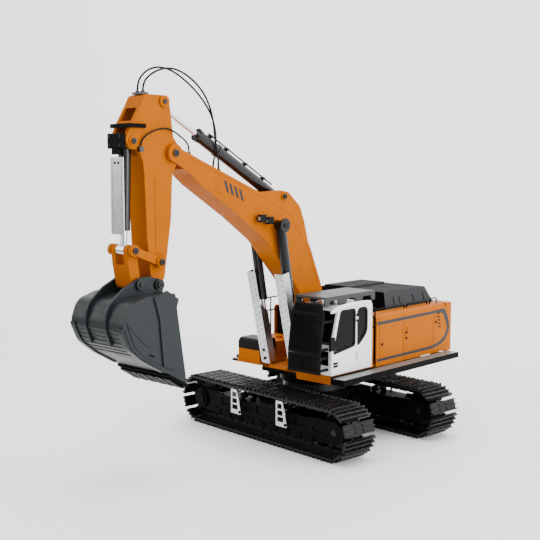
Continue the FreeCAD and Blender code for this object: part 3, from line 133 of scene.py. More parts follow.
class Shader:
    """A material's node tree with short calls for the nodes used here."""

    def __init__(self, name):
        self.material = bpy.data.materials.new(name)
        self.material.use_nodes = True
        self.tree = self.material.node_tree
        self.bsdf = self.tree.nodes["Principled BSDF"]
        self.position = self.add("ShaderNodeTexCoord").outputs["Object"]

    def add(self, kind, settings=(), values=()):
        node = self.tree.nodes.new(kind)
        for name, value in dict(settings).items():
            setattr(node, name, value)
        for name, value in dict(values).items():
            self.feed(node.inputs[name], value)
        return node

    def feed(self, socket, value):
        if isinstance(value, bpy.types.NodeSocket):
            self.tree.links.new(value, socket)
        else:
            socket.default_value = value

    def set(self, name, value):
        self.feed(self.bsdf.inputs[name], value)

    def noise(self, scale, detail=3, roughness=0.55, stretch=None):
        place = self.position
        if stretch:
            mapping = self.add("ShaderNodeMapping", values={"Vector": place, "Scale": stretch})
            place = mapping.outputs["Vector"]
        node = self.add("ShaderNodeTexNoise", values={
            "Vector": place, "Scale": scale, "Detail": detail, "Roughness": roughness})
        return node.outputs["Fac"]

    def spread(self, value, low, high, from_low=0.3, from_high=0.7):
        node = self.add("ShaderNodeMapRange", values={
            "Value": value, "From Min": from_low, "From Max": from_high, "To Min": low, "To Max": high})
        return node.outputs["Result"]

    def math(self, operation, a, b=0.0):
        node = self.add("ShaderNodeMath", {"operation": operation})
        self.feed(node.inputs[0], a)
        self.feed(node.inputs[1], b)
        return node.outputs[0]

    def mix(self, factor, a, b):
        node = self.add("ShaderNodeMix", {"data_type": "RGBA"})
        self.feed(node.inputs["Factor"], factor)
        self.feed(node.inputs[6], a)
        self.feed(node.inputs[7], b)
        return node.outputs[2]

    def edges(self, radius):
        return self.add("ShaderNodeBevel", {"samples": 4}, {"Radius": radius}).outputs["Normal"]

    def bump(self, height, distance, strength=0.5, edge=0.0):
        node = self.add("ShaderNodeBump", values={
            "Height": height, "Distance": distance, "Strength": strength})
        if edge:
            self.feed(node.inputs["Normal"], self.edges(edge))
        self.set("Normal", node.outputs["Normal"])

    def wear(self, radius, low, high):
        """A mask of exposed edges, from the rounded normal's lean, broken up by noise: edge wear on the dark
        paints, and on the orange paint a painted edge highlight.
        """
        rounded = self.edges(radius)
        flat = self.add("ShaderNodeNewGeometry").outputs["Normal"]
        dot = self.add("ShaderNodeVectorMath", {"operation": "DOT_PRODUCT"})
        self.feed(dot.inputs[0], rounded)
        self.feed(dot.inputs[1], flat)
        bare = self.math("SUBTRACT", 1.0, dot.outputs["Value"])
        rough = self.math("MULTIPLY", self.noise(260, 4), 0.35)
        return self.spread(self.math("SUBTRACT", bare, rough), 0, 1, low, high)


def shade(colour, factor):
    return tuple(min(1, c * factor) for c in colour[:3]) + (1,)


def paint(name, colour, roughness=0.32, coat=0.1, edge_wear_and_highlight=None, edge=0.5, specular=0.3, edge_wear_and_highlight_share=0.4):
    """Sprayed paint: slight orange peel, cloudy sheen, dust, and brighter worn edges."""
    s = Shader(name)
    finish_paint(s, colour, roughness, coat, edge_wear_and_highlight, edge, specular, edge_wear_and_highlight_share)
    return s.material


def orange_paint(name, edge):
    """Orange paint whose sheen takes the paint's own colour, with a lighter orange painted on its edges as a
    painted edge highlight.
    """
    s = Shader(name)
    # The lighter orange (0.62, 0.24, 0.015) laid on the edges is a painted edge highlight, not wear.
    finish_paint(s, ORANGE, 0.45, 0, (0.62, 0.24, 0.015, 1), edge, 0.05, 0.4)
    s.set("Specular Tint", (1, 0.35, 0.02, 1))
    return s.material


def finish_paint(s, colour, roughness, coat, edge_wear_and_highlight, edge, specular, edge_wear_and_highlight_share, other=None, share=None):
    cloud = s.noise(22, 3)
    base = s.mix(s.spread(cloud, 0, 1), shade(colour, 0.93), shade(colour, 1.05))
    if other:
        base = s.mix(share, base, other)
    speck = s.spread(s.noise(900, 2), 0, 1, 0.62, 0.75)
    base = s.mix(s.math("MULTIPLY", speck, 0.12), base, shade(colour, 0.6))
    # Brighter edge colour: wear on the dark paints, and a painted edge highlight on the orange paint.
    if edge_wear_and_highlight:
        base = s.mix(s.math("MULTIPLY", s.wear(0.5 * MM, 0.05, 0.25), edge_wear_and_highlight_share), base, edge_wear_and_highlight)
    s.set("Base Color", base)
    s.set("Roughness", s.spread(s.noise(60, 4), roughness - 0.06, roughness + 0.08))
    s.set("Specular IOR Level", specular)
    s.set("Coat Weight", coat)
    s.set("Coat Roughness", 0.12)
    s.bump(s.noise(1400, 2), 0.03 * MM, 0.25, edge * MM)


def two_tone(name, first, second, limits):
    """Paint of one colour wherever a limit (axis, sign, distance) is passed, and of another elsewhere."""
    s = Shader(name)
    split = s.add("ShaderNodeSeparateXYZ", values={"Vector": s.position})
    share = 0.0
    for axis, sign, distance in limits:
        beyond = s.math("MULTIPLY", split.outputs[axis], sign)
        at = sign * distance * MM
        share = s.math("MAXIMUM", s.spread(beyond, 0, 1, at - 0.1 * MM, at + 0.1 * MM), share)
    finish_paint(s, second, 0.4, 0, None, 0.5, 0.05, 0, (*first, 1), share)
    return s.material


def hood_paint():
    """Near-black hood whose sloping flanks are a lighter grey."""
    s = Shader("hood_paint")
    normal = s.add("ShaderNodeNewGeometry").outputs["True Normal"]
    across = s.math("ABSOLUTE", s.add("ShaderNodeSeparateXYZ", values={"Vector": normal}).outputs["Y"])
    flank = s.spread(across, 0, 1, 0.55, 0.6)
    finish_paint(s, (0.004, 0.0042, 0.005), 0.5, 0, None, 0.8, 0.01, 0, (0.045, 0.047, 0.05, 1), flank)
    return s.material


def metal(name, colour, roughness, grain=(1, 1, 12), edge=0.3):
    """Turned or brushed metal with fine lines and soft smudges."""
    s = Shader(name)
    lines = s.noise(700, 2, stretch=grain)
    s.set("Base Color", s.mix(s.spread(lines, 0, 1), shade(colour, 0.86), shade(colour, 1.06)))
    s.set("Metallic", 1.0)
    smudge = s.spread(s.noise(45, 3), -0.03, 0.07)
    s.set("Roughness", s.math("ADD", s.spread(lines, roughness * 0.8, roughness * 1.2), smudge))
    s.bump(lines, 0.01 * MM, 0.3, edge * MM)
    return s.material


def plastic(name, colour, roughness, grain=1800, depth=0.04, edge=0.4):
    """Moulded plastic or rubber with a fine spark-eroded grain."""
    s = Shader(name)
    s.set("Base Color", s.mix(s.spread(s.noise(70, 3), 0, 1), shade(colour, 0.85), shade(colour, 1.15)))
    s.set("Roughness", s.spread(s.noise(grain, 2), roughness - 0.06, roughness + 0.06))
    s.set("Specular IOR Level", 0.08)
    s.bump(s.noise(grain, 2), depth * MM, 0.5, edge * MM)
    return s.material


def window_glass():
    s = Shader("smoked_glass")
    cloud = s.spread(s.noise(18, 2), 0, 1)
    s.set("Base Color", s.mix(cloud, (0.02, 0.025, 0.027, 1), (0.03, 0.035, 0.04, 1)))
    s.set("Roughness", s.spread(s.noise(120, 2), 0.02, 0.07))
    s.set("Transmission Weight", 0.85)
    s.set("IOR", 1.15)
    s.bump(s.noise(30, 1), 0.01 * MM, 0.2)
    return s.material


def tread_plate():
    """Pale perforated tread: staggered round holes that show dark."""
    s = Shader("perforated_tread")
    pitch = 4.8 * MM
    split = s.add("ShaderNodeSeparateXYZ", values={"Vector": s.position})
    cells = []
    for axis in ("X", "Y"):
        scaled = s.math("DIVIDE", split.outputs[axis], pitch)
        cells.append(s.math("SUBTRACT", s.math("FRACT", scaled), 0.5))
    squares = [s.math("MULTIPLY", c, c) for c in cells]
    distance = s.math("SQRT", s.math("ADD", *squares))
    hole = s.spread(distance, 1, 0, 0.33, 0.37)
    s.set("Base Color", s.mix(hole, (0.34, 0.34, 0.33, 1), (0.015, 0.015, 0.015, 1)))
    s.set("Metallic", s.math("MULTIPLY", s.math("SUBTRACT", 1.0, hole), 0.6))
    s.set("Roughness", s.spread(s.noise(300, 3), 0.35, 0.5))
    s.bump(s.math("SUBTRACT", 1.0, hole), 0.5 * MM, 0.6)
    return s.material


def floor_material():
    """Pale floor that fades into the backdrop away from the machine."""
    s = Shader("studio_floor")
    s.set("Base Color", s.mix(s.spread(s.noise(6, 2), 0, 1), (0.90, 0.90, 0.90, 1), (0.92, 0.92, 0.92, 1)))
    s.set("Roughness", 0.6)
    length = s.add("ShaderNodeVectorMath", {"operation": "LENGTH"}, {0: s.position}).outputs["Value"]
    fade = s.spread(length, 0, 1, 0.55, 1.2)
    clear = s.add("ShaderNodeBsdfTransparent").outputs[0]
    mixer = s.add("ShaderNodeMixShader", values={0: fade, 1: s.bsdf.outputs[0], 2: clear})
    s.tree.links.new(mixer.outputs[0], s.tree.nodes["Material Output"].inputs["Surface"])
    return s.material


ORANGE = (0.42, 0.105, 0.0)
BLACK = (0.006, 0.006, 0.0065)
GUARD_GREY = (0.06, 0.062, 0.064)
DECK_LIMITS = [("Z", -1, 110.6), ("Y", 1, 117.9), ("Y", -1, -98.3)]
GUARD_LIMITS = [("Z", -1, 239.4), ("X", 1, 106)]


def make_materials():
    return {
        "orange_paint": orange_paint("orange_paint", 0.5),
        "deck_paint": two_tone("deck_paint", BLACK, ORANGE, DECK_LIMITS),
        "guard_paint": two_tone("guard_paint", BLACK, GUARD_GREY, GUARD_LIMITS),
        "cast_weight": orange_paint("weight_paint", 1.0),
        "bucket_grey": paint("bucket_grey", (0.012, 0.0165, 0.018), 0.38, 0,
                             edge_wear_and_highlight=(0.15, 0.17, 0.18, 1), edge=0.8, specular=0.22),
        "black_paint": paint("black_paint", (0.003, 0.003, 0.0033), 0.42, 0, edge_wear_and_highlight=(0.03, 0.03, 0.03, 1),
                             specular=0.03, edge_wear_and_highlight_share=0.25),
        "track_black": paint("track_black", (0.004, 0.004, 0.0045), 0.26, 0, edge_wear_and_highlight=(0.16, 0.16, 0.16, 1),
                             edge=0.35, specular=0.2),
        "cab_white": paint("cab_white", (0.86, 0.87, 0.87), 0.25, 0.3),
        "hood_grey": hood_paint(),
        "cylinder_black": paint("cylinder_black", (0.004, 0.004, 0.005), 0.2, 0.2,
                                edge_wear_and_highlight=(0.10, 0.10, 0.10, 1)),
        "rod_chrome": metal("rod_chrome", (0.80, 0.81, 0.83), 0.08),
        "pin_steel": metal("pin_steel", (0.035, 0.035, 0.038), 0.3),
        "gear_steel": metal("gear_steel", (0.03, 0.03, 0.032), 0.45),
        "sheet_silver": metal("sheet_silver", (0.56, 0.575, 0.59), 0.3, grain=(1, 1, 5)),
        "brass_union": metal("brass_union", (0.05, 0.05, 0.055), 0.3),
        "window_glass": window_glass(),
        "tread_plate": tread_plate(),
        "trim_plastic": plastic("trim_plastic", (0.005, 0.005, 0.0055), 0.5),
        "housing_plastic": plastic("housing_plastic", (0.02, 0.02, 0.022), 0.55),
        "hose_rubber": plastic("hose_rubber", (0.008, 0.008, 0.008), 0.42, grain=2600, depth=0.02),
        "decal_black": paint("decal_black", (0.010, 0.010, 0.011), 0.4, 0, edge=0.1),
        "lamp_lens": lamp_lens(),
    }


def lamp_lens():
    s = Shader("lamp_lens")
    wave = s.add("ShaderNodeTexWave", values={"Vector": s.position, "Scale": 160.0, "Distortion": 0.2})
    ridge = wave.outputs["Fac"]
    s.set("Base Color", s.mix(ridge, (0.25, 0.26, 0.28, 1), (0.45, 0.47, 0.5, 1)))
    s.set("Roughness", 0.12)
    s.set("Metallic", 0.7)
    s.bump(ridge, 0.2 * MM, 0.5)
    return s.material


# ---------------------------------------------------------------- mesh helpers

def finish_mesh(name, bm, body, slot, smooth=True, bevel=0.0):
    """Turn a bmesh into a piece that rides on a body and wears a slot's material."""
    bmesh.ops.recalc_face_normals(bm, faces=bm.faces)
    mesh = bpy.data.meshes.new(name)
    bm.to_mesh(mesh)
    bm.free()
    obj = bpy.data.objects.new(name, mesh)
    bpy.context.scene.collection.objects.link(obj)
    mesh.materials.append(MATERIALS[slot])
    if smooth:
        for face in mesh.polygons:
            face.use_smooth = True
        mesh.set_sharp_from_angle(angle=math.radians(32))
    if bevel:
        modifier = obj.modifiers.new("rounded", "BEVEL")
        modifier.width = bevel
        modifier.segments = 2
        modifier.limit_method = "ANGLE"
        modifier.harden_normals = False
    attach(obj, body)
    return obj


def add_box(bm, low, high, turn=None):
    """A box between two corners, in metres, with an optional matrix."""
    low, high = Vector(low), Vector(high)
    size, middle = high - low, (high + low) / 2
    matrix = Matrix.Translation(middle) @ Matrix.Diagonal((*size, 1))
    made = bmesh.ops.create_cube(bm, size=1, matrix=matrix)
    if turn:
        bmesh.ops.transform(bm, matrix=turn, verts=made["verts"])


def add_side_box(bm, low, high, face, depth):
    """A box between two side-view corners (x, z) that runs from a face out to a depth, in millimetres."""
    near, far = sorted((face, face + depth))
    add_box(bm, Vector((low[0], near, low[1])) * MM, Vector((high[0], far, high[1])) * MM)


AXIS_ORDER = {"X": (2, 0, 1), "Y": (0, 2, 1)}


def on_axis(u, v, w, axis):
    """The point of an outline's (u, v) at the distance w along an axis."""
    return [(u, v, w)[i] for i in AXIS_ORDER[axis]]


def add_prism(bm, outline, low, high, axis="Y"):
    """A prism of a closed outline (u, v) between two distances along an axis."""
    rings = [[bm.verts.new(on_axis(u, v, w, axis)) for u, v in outline] for w in (low, high)]
    count = len(outline)
    bm.faces.new(rings[0])
    bm.faces.new(rings[1][::-1])
    for i in range(count):
        j = (i + 1) % count
        bm.faces.new((rings[0][i], rings[0][j], rings[1][j], rings[1][i]))


def add_lathe(bm, profile, centre, direction, steps=32):
    """Revolve (radius, height) points about a direction through a centre."""
    turn = Vector(direction).to_track_quat("Z", "Y").to_matrix().to_4x4()
    matrix = Matrix.Translation(Vector(centre)) @ turn
    rings = []
    for radius, height in profile:
        if radius == 0:
            rings.append([bm.verts.new(matrix @ Vector((0, 0, height)))])
            continue
        ring = []
        for i in range(steps):
            angle = 2 * math.pi * i / steps
            at = Vector((radius * math.cos(angle), radius * math.sin(angle), height))
            ring.append(bm.verts.new(matrix @ at))
        rings.append(ring)
    for a, b in zip(rings, rings[1:]):
        for i in range(steps):
            j = (i + 1) % steps
            corners = [a[i % len(a)], a[j % len(a)], b[j % len(b)], b[i % len(b)]]
            unique = list(dict.fromkeys(corners))
            if len(unique) > 2:
                bm.faces.new(unique)


def rounded(points, radius, steps=5):
    """An outline with each corner rounded by one radius."""
    made = []
    for i, point in enumerate(points):
        here = Vector(point)
        before = (Vector(points[i - 1]) - here)
        after = (Vector(points[(i + 1) % len(points)]) - here)
        reach = min(radius, before.length / 2.01, after.length / 2.01)
        start, end = here + before.normalized() * reach, here + after.normalized() * reach
        for k in range(steps + 1):
            t = k / steps
            made.append(tuple(start * (1 - t) ** 2 + here * 2 * t * (1 - t) + end * t ** 2))
    return made


def add_ring(bm, outline, inner, low, high, axis="Y"):
    """A flat frame between an outline and an inner outline with as many points."""
    loops = []
    for points, w in ((outline, low), (outline, high), (inner, high), (inner, low)):
        loops.append([bm.verts.new(on_axis(u, v, w, axis)) for u, v in points])
    count = len(outline)
    for a, b in zip(loops, loops[1:] + loops[:1]):
        for i in range(count):
            j = (i + 1) % count
            bm.faces.new((a[i], a[j], b[j], b[i]))


def bolt_profile(radius, height):
    """A socket-head bolt: washer, head with a soft rim and a recess."""
    shares = [(0, 0), (1.35, 0), (1.35, 0.2), (1, 0.22), (1, 0.85), (0.88, 1), (0.5, 1), (0.46, 0.5),
              (0, 0.45)]
    return [(radius * across, height * up) for across, up in shares]


def add_rod(bm, radius, length, start, direction, steps=12):
    """A plain round bar from a point, in metres."""
    add_lathe(bm, [(0, 0), (radius, 0), (radius, length), (0, length)], start, direction, steps)


def add_bolt(bm, centre, direction, radius=1.3 * MM, height=1.2 * MM):
    add_lathe(bm, bolt_profile(radius, height), centre, direction, 18)


def nurbs(points):
    """A spline that has these points as its control points."""
    data = bpy.data.curves.new("centreline", "CURVE")
    data.dimensions = "3D"
    data.resolution_u = 24
    spline = data.splines.new("NURBS")
    spline.points.add(len(points) - 1)
    for control, point in zip(spline.points, points):
        control.co = (*point, 1)
    spline.order_u = 3
    spline.use_endpoint_u = True
    obj = bpy.data.objects.new("centreline", data)
    bpy.context.scene.collection.objects.link(obj)
    return obj


# ---------------------------------------------------------------- hoses

HOSE_A = [(398, 6.2, 577.5), (398, 6.2, 590), (385, 8.5, 603.5), (366, 11.5, 612.5), (345, 12.4, 614.5),
          (323, 12.4, 609), (302, 12.4, 598), (283, 12.4, 582), (270, 12.4, 562), (263, 12.4, 540),
          (260, 12.4, 517), (256, 12, 495), (252, 12, 480.5), (252, 12, 464.5)]
HOSE_B = [(398, -6.2, 577.5), (398, -6.2, 591.5), (384, -8.5, 606.5), (364, -11.5, 616), (342, -12.4, 618),
          (319, -12.4, 612), (296, -12.4, 600), (273, -12.4, 584), (252, -12.4, 564), (238, -12.4, 541),
          (233, -12.4, 516), (235, -12, 492), (241, -12, 475), (241, -12, 460)]
PILOT_HOSE = [(416, 21.6, 495.8), (416, 21.8, 504), (409, 22.6, 512.5), (397, 23.2, 519), (381, 23, 524),
              (363, 21.5, 525), (346, 19, 519), (333, 16, 513), (322, 14.4, 507), (316, 14, 499.5),
              (316, 14, 489.1)]


def centreline(route):
    """The points of the smooth line that a route's spline describes."""
    line = nurbs(route)
    bpy.context.view_layer.update()
    graph = bpy.context.evaluated_depsgraph_get()
    mesh = bpy.data.meshes.new_from_object(line.evaluated_get(graph))
    points = [v.co.copy() for v in mesh.vertices]
    bpy.data.objects.remove(line)
    bpy.data.meshes.remove(mesh)
    return points


def hose_mesh(name, route, radius):
    """A mesh tube swept along the route's smooth line, with closed ends."""
    path = centreline([Vector(p) * MM for p in route])
    bm = bmesh.new()
    side = Vector((0, 1, 0))
    rings = []
    for i, point in enumerate(path):
        ahead = (path[min(i + 1, len(path) - 1)] - path[max(i - 1, 0)]).normalized()
        side = (side - ahead * side.dot(ahead)).normalized()
        other = ahead.cross(side)
        rings.append([bm.verts.new(point + (side * math.cos(a) + other * math.sin(a)) * radius)
                      for a in [2 * math.pi * k / 16 for k in range(16)]])
    for a, b in zip(rings, rings[1:]):
        for k in range(16):
            bm.faces.new((a[k], a[(k + 1) % 16], b[(k + 1) % 16], b[k]))
    bm.faces.new(rings[0])
    bm.faces.new(rings[-1][::-1])
    bmesh.ops.recalc_face_normals(bm, faces=bm.faces)
    mesh = bpy.data.meshes.new(name)
    bm.to_mesh(mesh)
    bm.free()
    for face in mesh.polygons:
        face.use_smooth = True
    mesh.materials.append(MATERIALS["hose_rubber"])
    obj = bpy.data.objects.new(name, mesh)
    bpy.context.scene.collection.objects.link(obj)
    return obj, path


def hoses():
    """Rubber tubes swept along the three hose routes, in place of the CAD hoses, which are hidden."""
    routes = (("hose_a", HOSE_A, 1.5), ("hose_b", HOSE_B, 1.5), ("pilot_hose", PILOT_HOSE, 1.3))
    for name, route, radius in routes:
        obj, path = hose_mesh(name + "_rubber", route, radius * MM)
        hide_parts(name)
        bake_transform(obj)


# ---------------------------------------------------------------- details on the machine

def pin_caps():
    """Bolted caps on the ends of the big pins."""
    groups = {
        "boom_arm": [("stick_swing", 27.5, 5.5), ("boom_cylinder_tilt", 44, 5),
                     ("stick_cylinder_tilt", 25.5, 4.5)],
        "upper_structure": [("boom_lift", 30, 6)],
        "stick_arm": [("rocker_tilt", 29.5, 5), ("bucket_cylinder_tilt", 21.5, 4.5)],
        "bucket_body": [("bucket_curl", 30.5, 5.5)],
        "rocker": [("link_tilt", 28.4, 5)],
    }
    for body, ends in groups.items():
        bm = bmesh.new()
        for joint, reach, radius in ends:
            for side in (1, -1):
                at = PIVOTS[joint] + Vector((0, side * reach * MM, 0))
                profile = mm([(0, -0.2), (radius, -0.2), (radius, 0.7), (radius * 0.9, 1.1),
                              (radius * 0.55, 1.1), (radius * 0.5, 0.6), (0, 0.6)])
                add_lathe(bm, profile, at, (0, side, 0))
                add_bolt(bm, at + Vector((0, side * 0.5 * MM, 0)), (0, side, 0), 1.5 * MM, 1.3 * MM)
        finish_mesh(f"pin_caps_{body}", bm, body, "pin_steel")


def mm(points):
    """Points given in millimetres, in metres."""
    return [tuple(c * MM for c in point) for point in points]


def offset(points, distance):
    """A closed outline moved outward (or inward, when negative) by a distance."""
    area = sum(a[0] * b[1] - b[0] * a[1] for a, b in zip(points, points[1:] + points[:1]))
    turn = 1 if area > 0 else -1
    moved = []
    for i, point in enumerate(points):
        here = Vector(point)
        before = (here - Vector(points[i - 1])).normalized()
        after = (Vector(points[(i + 1) % len(points)]) - here).normalized()
        out = Vector((before.y + after.y, -before.x - after.x)).normalized() * turn
        lean = max(0.35, out.dot(Vector((before.y, -before.x)) * turn))
        moved.append(tuple(here + out * distance / lean))
    return moved


def boom_trim():
    """Weld beads along the boom's upper seam, pressed diamonds, and slanted bars on its flank."""
    ridge = mm([(20, 268), (48, 331), (96, 392), (163, 421.5), (245, 453), (322, 483)])
    for side, name in SIDES:
        y = side * BOOM_HALF * MM
        bars = bmesh.new()
        for k in range(4):
            x, z = 205 + 11 * k, 414 + 4.6 * k
            outline = mm([(x, z), (x + 6, z + 2.5), (x + 12, z + 21), (x + 6, z + 18.5)])
            add_prism(bars, outline, y, y + side * 0.15 * MM)
        finish_mesh(f"boom_bars_{name}", bars, "boom_arm", "decal_black", smooth=False)
        bead = bmesh.new()
        for (x0, z0), (x1, z1) in zip(ridge, ridge[1:]):
            run = Vector((x1 - x0, 0, z1 - z0))
            add_rod(bead, 0.55 * MM, run.length, (x0, y, z0), run, 10)
        for x, z in mm([(66, 300), (150, 372), (262, 434)]):
            add_lathe(bead, mm([(0, -0.1), (6.5, -0.1), (6.1, 0.5), (0, 0.5)]), (x, y, z), (0, side, 0), 4)
        finish_mesh(f"boom_beads_{name}", bead, "boom_arm", "orange_paint")


def lamp_lenses():
    """Round lenses in bezels on the boom's lamps and on the roof guard's front edge."""
    lamps = [("boom_arm", (x + 8.5, side * 30.8, z), (1, 0, 0), 4.2)
             for side in (1, -1) for x, z in ((152, 382), (170, 386))]
    lamps += [("upper_structure", (104, y, 247.5), (1, 0, 0), 2.4) for y in (60, 92)]
    for number, (body, at, way, radius) in enumerate(lamps):
        at = Vector(at) * MM
        bezel = bmesh.new()
        profile = [(radius * 1.25, -0.2), (radius * 1.25, 1.4), (radius, 1.6), (radius * 0.96, 0.5), (0, 0.4)]
        add_lathe(bezel, mm(profile), at, way)
        finish_mesh(f"lamp_bezel_{number}", bezel, body, "trim_plastic")
        lens = bmesh.new()
        angles = [math.pi / 2 * k / 5 for k in range(5)]
        dome = [(radius * 0.95 * math.cos(a), 0.6 + 0.9 * math.sin(a)) for a in angles]
        add_lathe(lens, mm(dome + [(0, 1.5)]), at, way)
        finish_mesh(f"lamp_lens_{number}", lens, body, "lamp_lens")


DOOR_WINDOW = mm([(38.5, 171.5), (38.5, 230), (74, 230), (91.8, 164)])
QUARTER_WINDOW = mm([(28, 171), (28, 230), (5, 230), (5, 190)])
RIGHT_WINDOW = mm([(-5, 160), (-5, 231), (72, 231), (88, 172), (88, 160)])


def window_frames():
    """Black rubber frames round the panes, proud of the white panels."""
    def side_frame(name, points, face, out, body, corner):
        y = face * MM
        outer = rounded(offset(points, 3.2 * MM), corner + 2 * MM)
        inner = rounded(offset(points, -0.8 * MM), corner)
        bm = bmesh.new()
        add_ring(bm, outer, inner, y - out * 1.5 * MM, y + out * 0.35 * MM)
        finish_mesh(name, bm, body, "trim_plastic")

    side_frame("door_window_frame", DOOR_WINDOW, CAB_LEFT, 1, "door", 5 * MM)
    side_frame("quarter_window_frame", QUARTER_WINDOW, CAB_LEFT, 1, "upper_structure", 9 * MM)
    side_frame("right_window_frame", RIGHT_WINDOW, CAB_RIGHT, -1, "upper_structure", 5 * MM)
    rear = mm([(50, 184), (112, 184), (112, 232), (50, 232)])
    bm = bmesh.new()
    add_ring(bm, rounded(offset(rear, 2.4 * MM), 6 * MM), rounded(offset(rear, -0.8 * MM), 4 * MM),
             -11.4 * MM, -9.5 * MM, "X")
    finish_mesh("rear_window_frame", bm, "upper_structure", "trim_plastic")
    rail = bmesh.new()
    pane, thickness = 116.5, 1.1
    add_side_box(rail, (40, 183), (83, 185.2), pane, thickness)
    add_side_box(rail, (62, 172), (63.6, 229), pane, thickness)
    finish_mesh("door_window_bars", rail, "door", "trim_plastic", bevel=0.3 * MM)


def windscreen_frame():
    """Black surround on the sloping screen, and the wiper."""
    foot, slope = Vector((100, 81, 172)) * MM, math.atan2(19, 68)
    turn = Matrix.Translation(foot) @ Matrix.Rotation(-slope, 4, "Y")
    bm = bmesh.new()
    outline = mm([(-34, 5), (34, 5), (34, 61), (-34, 61)])
    inner = rounded(offset(outline, -3.4 * MM), 4 * MM)
    add_ring(bm, rounded(outline, 5 * MM), inner, -0.6 * MM, 0.5 * MM, "X")
    add_box(bm, Vector((0.2, -4, 9)) * MM, Vector((1.4, -2.6, 52)) * MM, Matrix.Rotation(0.25, 4, "X"))
    bmesh.ops.transform(bm, matrix=turn, verts=bm.verts)
    finish_mesh("windscreen_frame", bm, "upper_structure", "trim_plastic")


def visor():
    """White gutter along the cab's roof that swells over the front corner."""
    route = [(-10, 119.6, 240), (30, 120, 241.2), (62, 120.2, 240.9), (84, 120, 236.4), (104, 119.4, 231)]
    sizes = [(3.4, 2.2), (3.4, 2.4), (3.5, 2.6), (3.8, 2.8), (3.2, 2.4)]
    bm = bmesh.new()
    rings = []
    for i, (point, (tall, wide)) in enumerate(zip(route, sizes)):
        before, after = route[max(i - 1, 0)], route[min(i + 1, len(route) - 1)]
        along = (Vector(after) - Vector(before)).normalized()
        up = along.cross(Vector((0, 1, 0))).normalized()
        ring = []
        for k in range(12):
            angle = 2 * math.pi * k / 12
            at = Vector(point) + up * tall * math.cos(angle) + Vector((0, wide, 0)) * math.sin(angle)
            ring.append(bm.verts.new(at * MM))
        rings.append(ring)
    for a, b in zip(rings, rings[1:]):
        for k in range(12):
            bm.faces.new((a[k], a[(k + 1) % 12], b[(k + 1) % 12], b[k]))
    bm.faces.new(rings[0])
    bm.faces.new(rings[-1][::-1])
    obj = finish_mesh("cab_gutter", bm, "upper_structure", "cab_white")
    smooth = obj.modifiers.new("smooth", "SUBSURF")
    smooth.levels = smooth.render_levels = 2


def cab_marks():
    """Door handle, covers on the upper hinge, the mirror's arm and the louvres of the rear panel."""
    bm = bmesh.new()
    for z in (139, 143.8):
        outline = mm([(84, z), (94, z), (95, z + 3.6), (83, z + 3.6)])
        add_prism(bm, outline, 118.8 * MM, 120 * MM)
    finish_mesh("door_handle", bm, "door", "trim_plastic", bevel=0.3 * MM)
    dark = bmesh.new()
    for z in (210, 219.4):
        add_side_box(dark, (27.9, z - 0.2), (33.7, z + 3.6), CAB_LEFT + 0.1, 3.5)
    start, end = Vector((106, 122.4, 182)) * MM, Vector((121.5, 113.4, 184)) * MM
    add_rod(dark, 1.3 * MM, (end - start).length, start, end - start)
    finish_mesh("cab_fittings", dark, "upper_structure", "trim_plastic", bevel=0.2 * MM)
    louvres = bmesh.new()
    for k in range(6):
        z = 140 + 5.5 * k
        add_side_box(louvres, (-6, z), (4, z + 1.6), CAB_LEFT - 0.1, 0.6)
    finish_mesh("cab_louvres", louvres, "upper_structure", "cab_white", bevel=0.4 * MM)


def panel_y(x):
    """Half width of the body at x: flat panels, then the weight's round rear corner."""
    radius, corner_x = 6.0, -265.0
    if x >= corner_x:
        return BODY_HALF
    return BODY_HALF - radius + math.sqrt(max(0, radius ** 2 - (x - corner_x) ** 2))


def smooth_line(points, steps=8, radii=None):
    """Points along an open line whose inner corners are rounded, by radii where they are given."""
    line = [Vector(points[0])]
    for i, (before, here, after) in enumerate(zip(points, points[1:], points[2:])):
        before, here, after = Vector(before), Vector(here), Vector(after)
        reach = 0.45 * min((before - here).length, (after - here).length)
        if radii:
            reach = radii[i] * math.tan((here - before).angle(after - here) / 2)
        start = here + (before - here).normalized() * reach
        end = here + (after - here).normalized() * reach
        for k in range(steps + 1):
            t = k / steps
            line.append(start * (1 - t) ** 2 + here * 2 * t * (1 - t) + end * t ** 2)
    return line + [Vector(points[-1])]


def offset_line(line, distance):
    """An open line moved to its left by a distance."""
    moved = []
    for i, here in enumerate(line):
        along = (line[min(i + 1, len(line) - 1)] - line[max(i - 1, 0)]).normalized()
        moved.append(tuple(here + Vector((-along.y, along.x)) * distance))
    return moved


def add_strip(bm, line, half, low, high):
    """A raised strip of a half width along an open line on a side face."""
    add_prism(bm, offset_line(line, half) + offset_line(line, -half)[::-1], low, high)


def side_stripe():
    """A dark band along each panel's top that loops round the rear corner and returns below."""
    outer = [(-29, 201), (-212, 202.5), (-247, 204.5), (-265, 163), (-243, 137.5), (-205, 131), (-29, 130.5)]
    inner = [(-29, 195), (-212, 197), (-236, 197), (-255, 164), (-236, 144), (-203, 136.5), (-29, 135.5)]
    outer, inner = smooth_line(outer), smooth_line(inner)
    for side, name in SIDES:
        bm = bmesh.new()
        rows = [[bm.verts.new((x * MM, side * (panel_y(x) + 0.12) * MM, z * MM)) for x, z in line]
                for line in (outer, inner)]
        for i in range(len(outer) - 1):
            bm.faces.new((rows[0][i], rows[0][i + 1], rows[1][i + 1], rows[1][i]))
        bmesh.ops.subdivide_edges(bm, edges=bm.edges[:], cuts=1)
        finish_mesh(f"side_stripe_{name}", bm, "upper_structure", "decal_black")


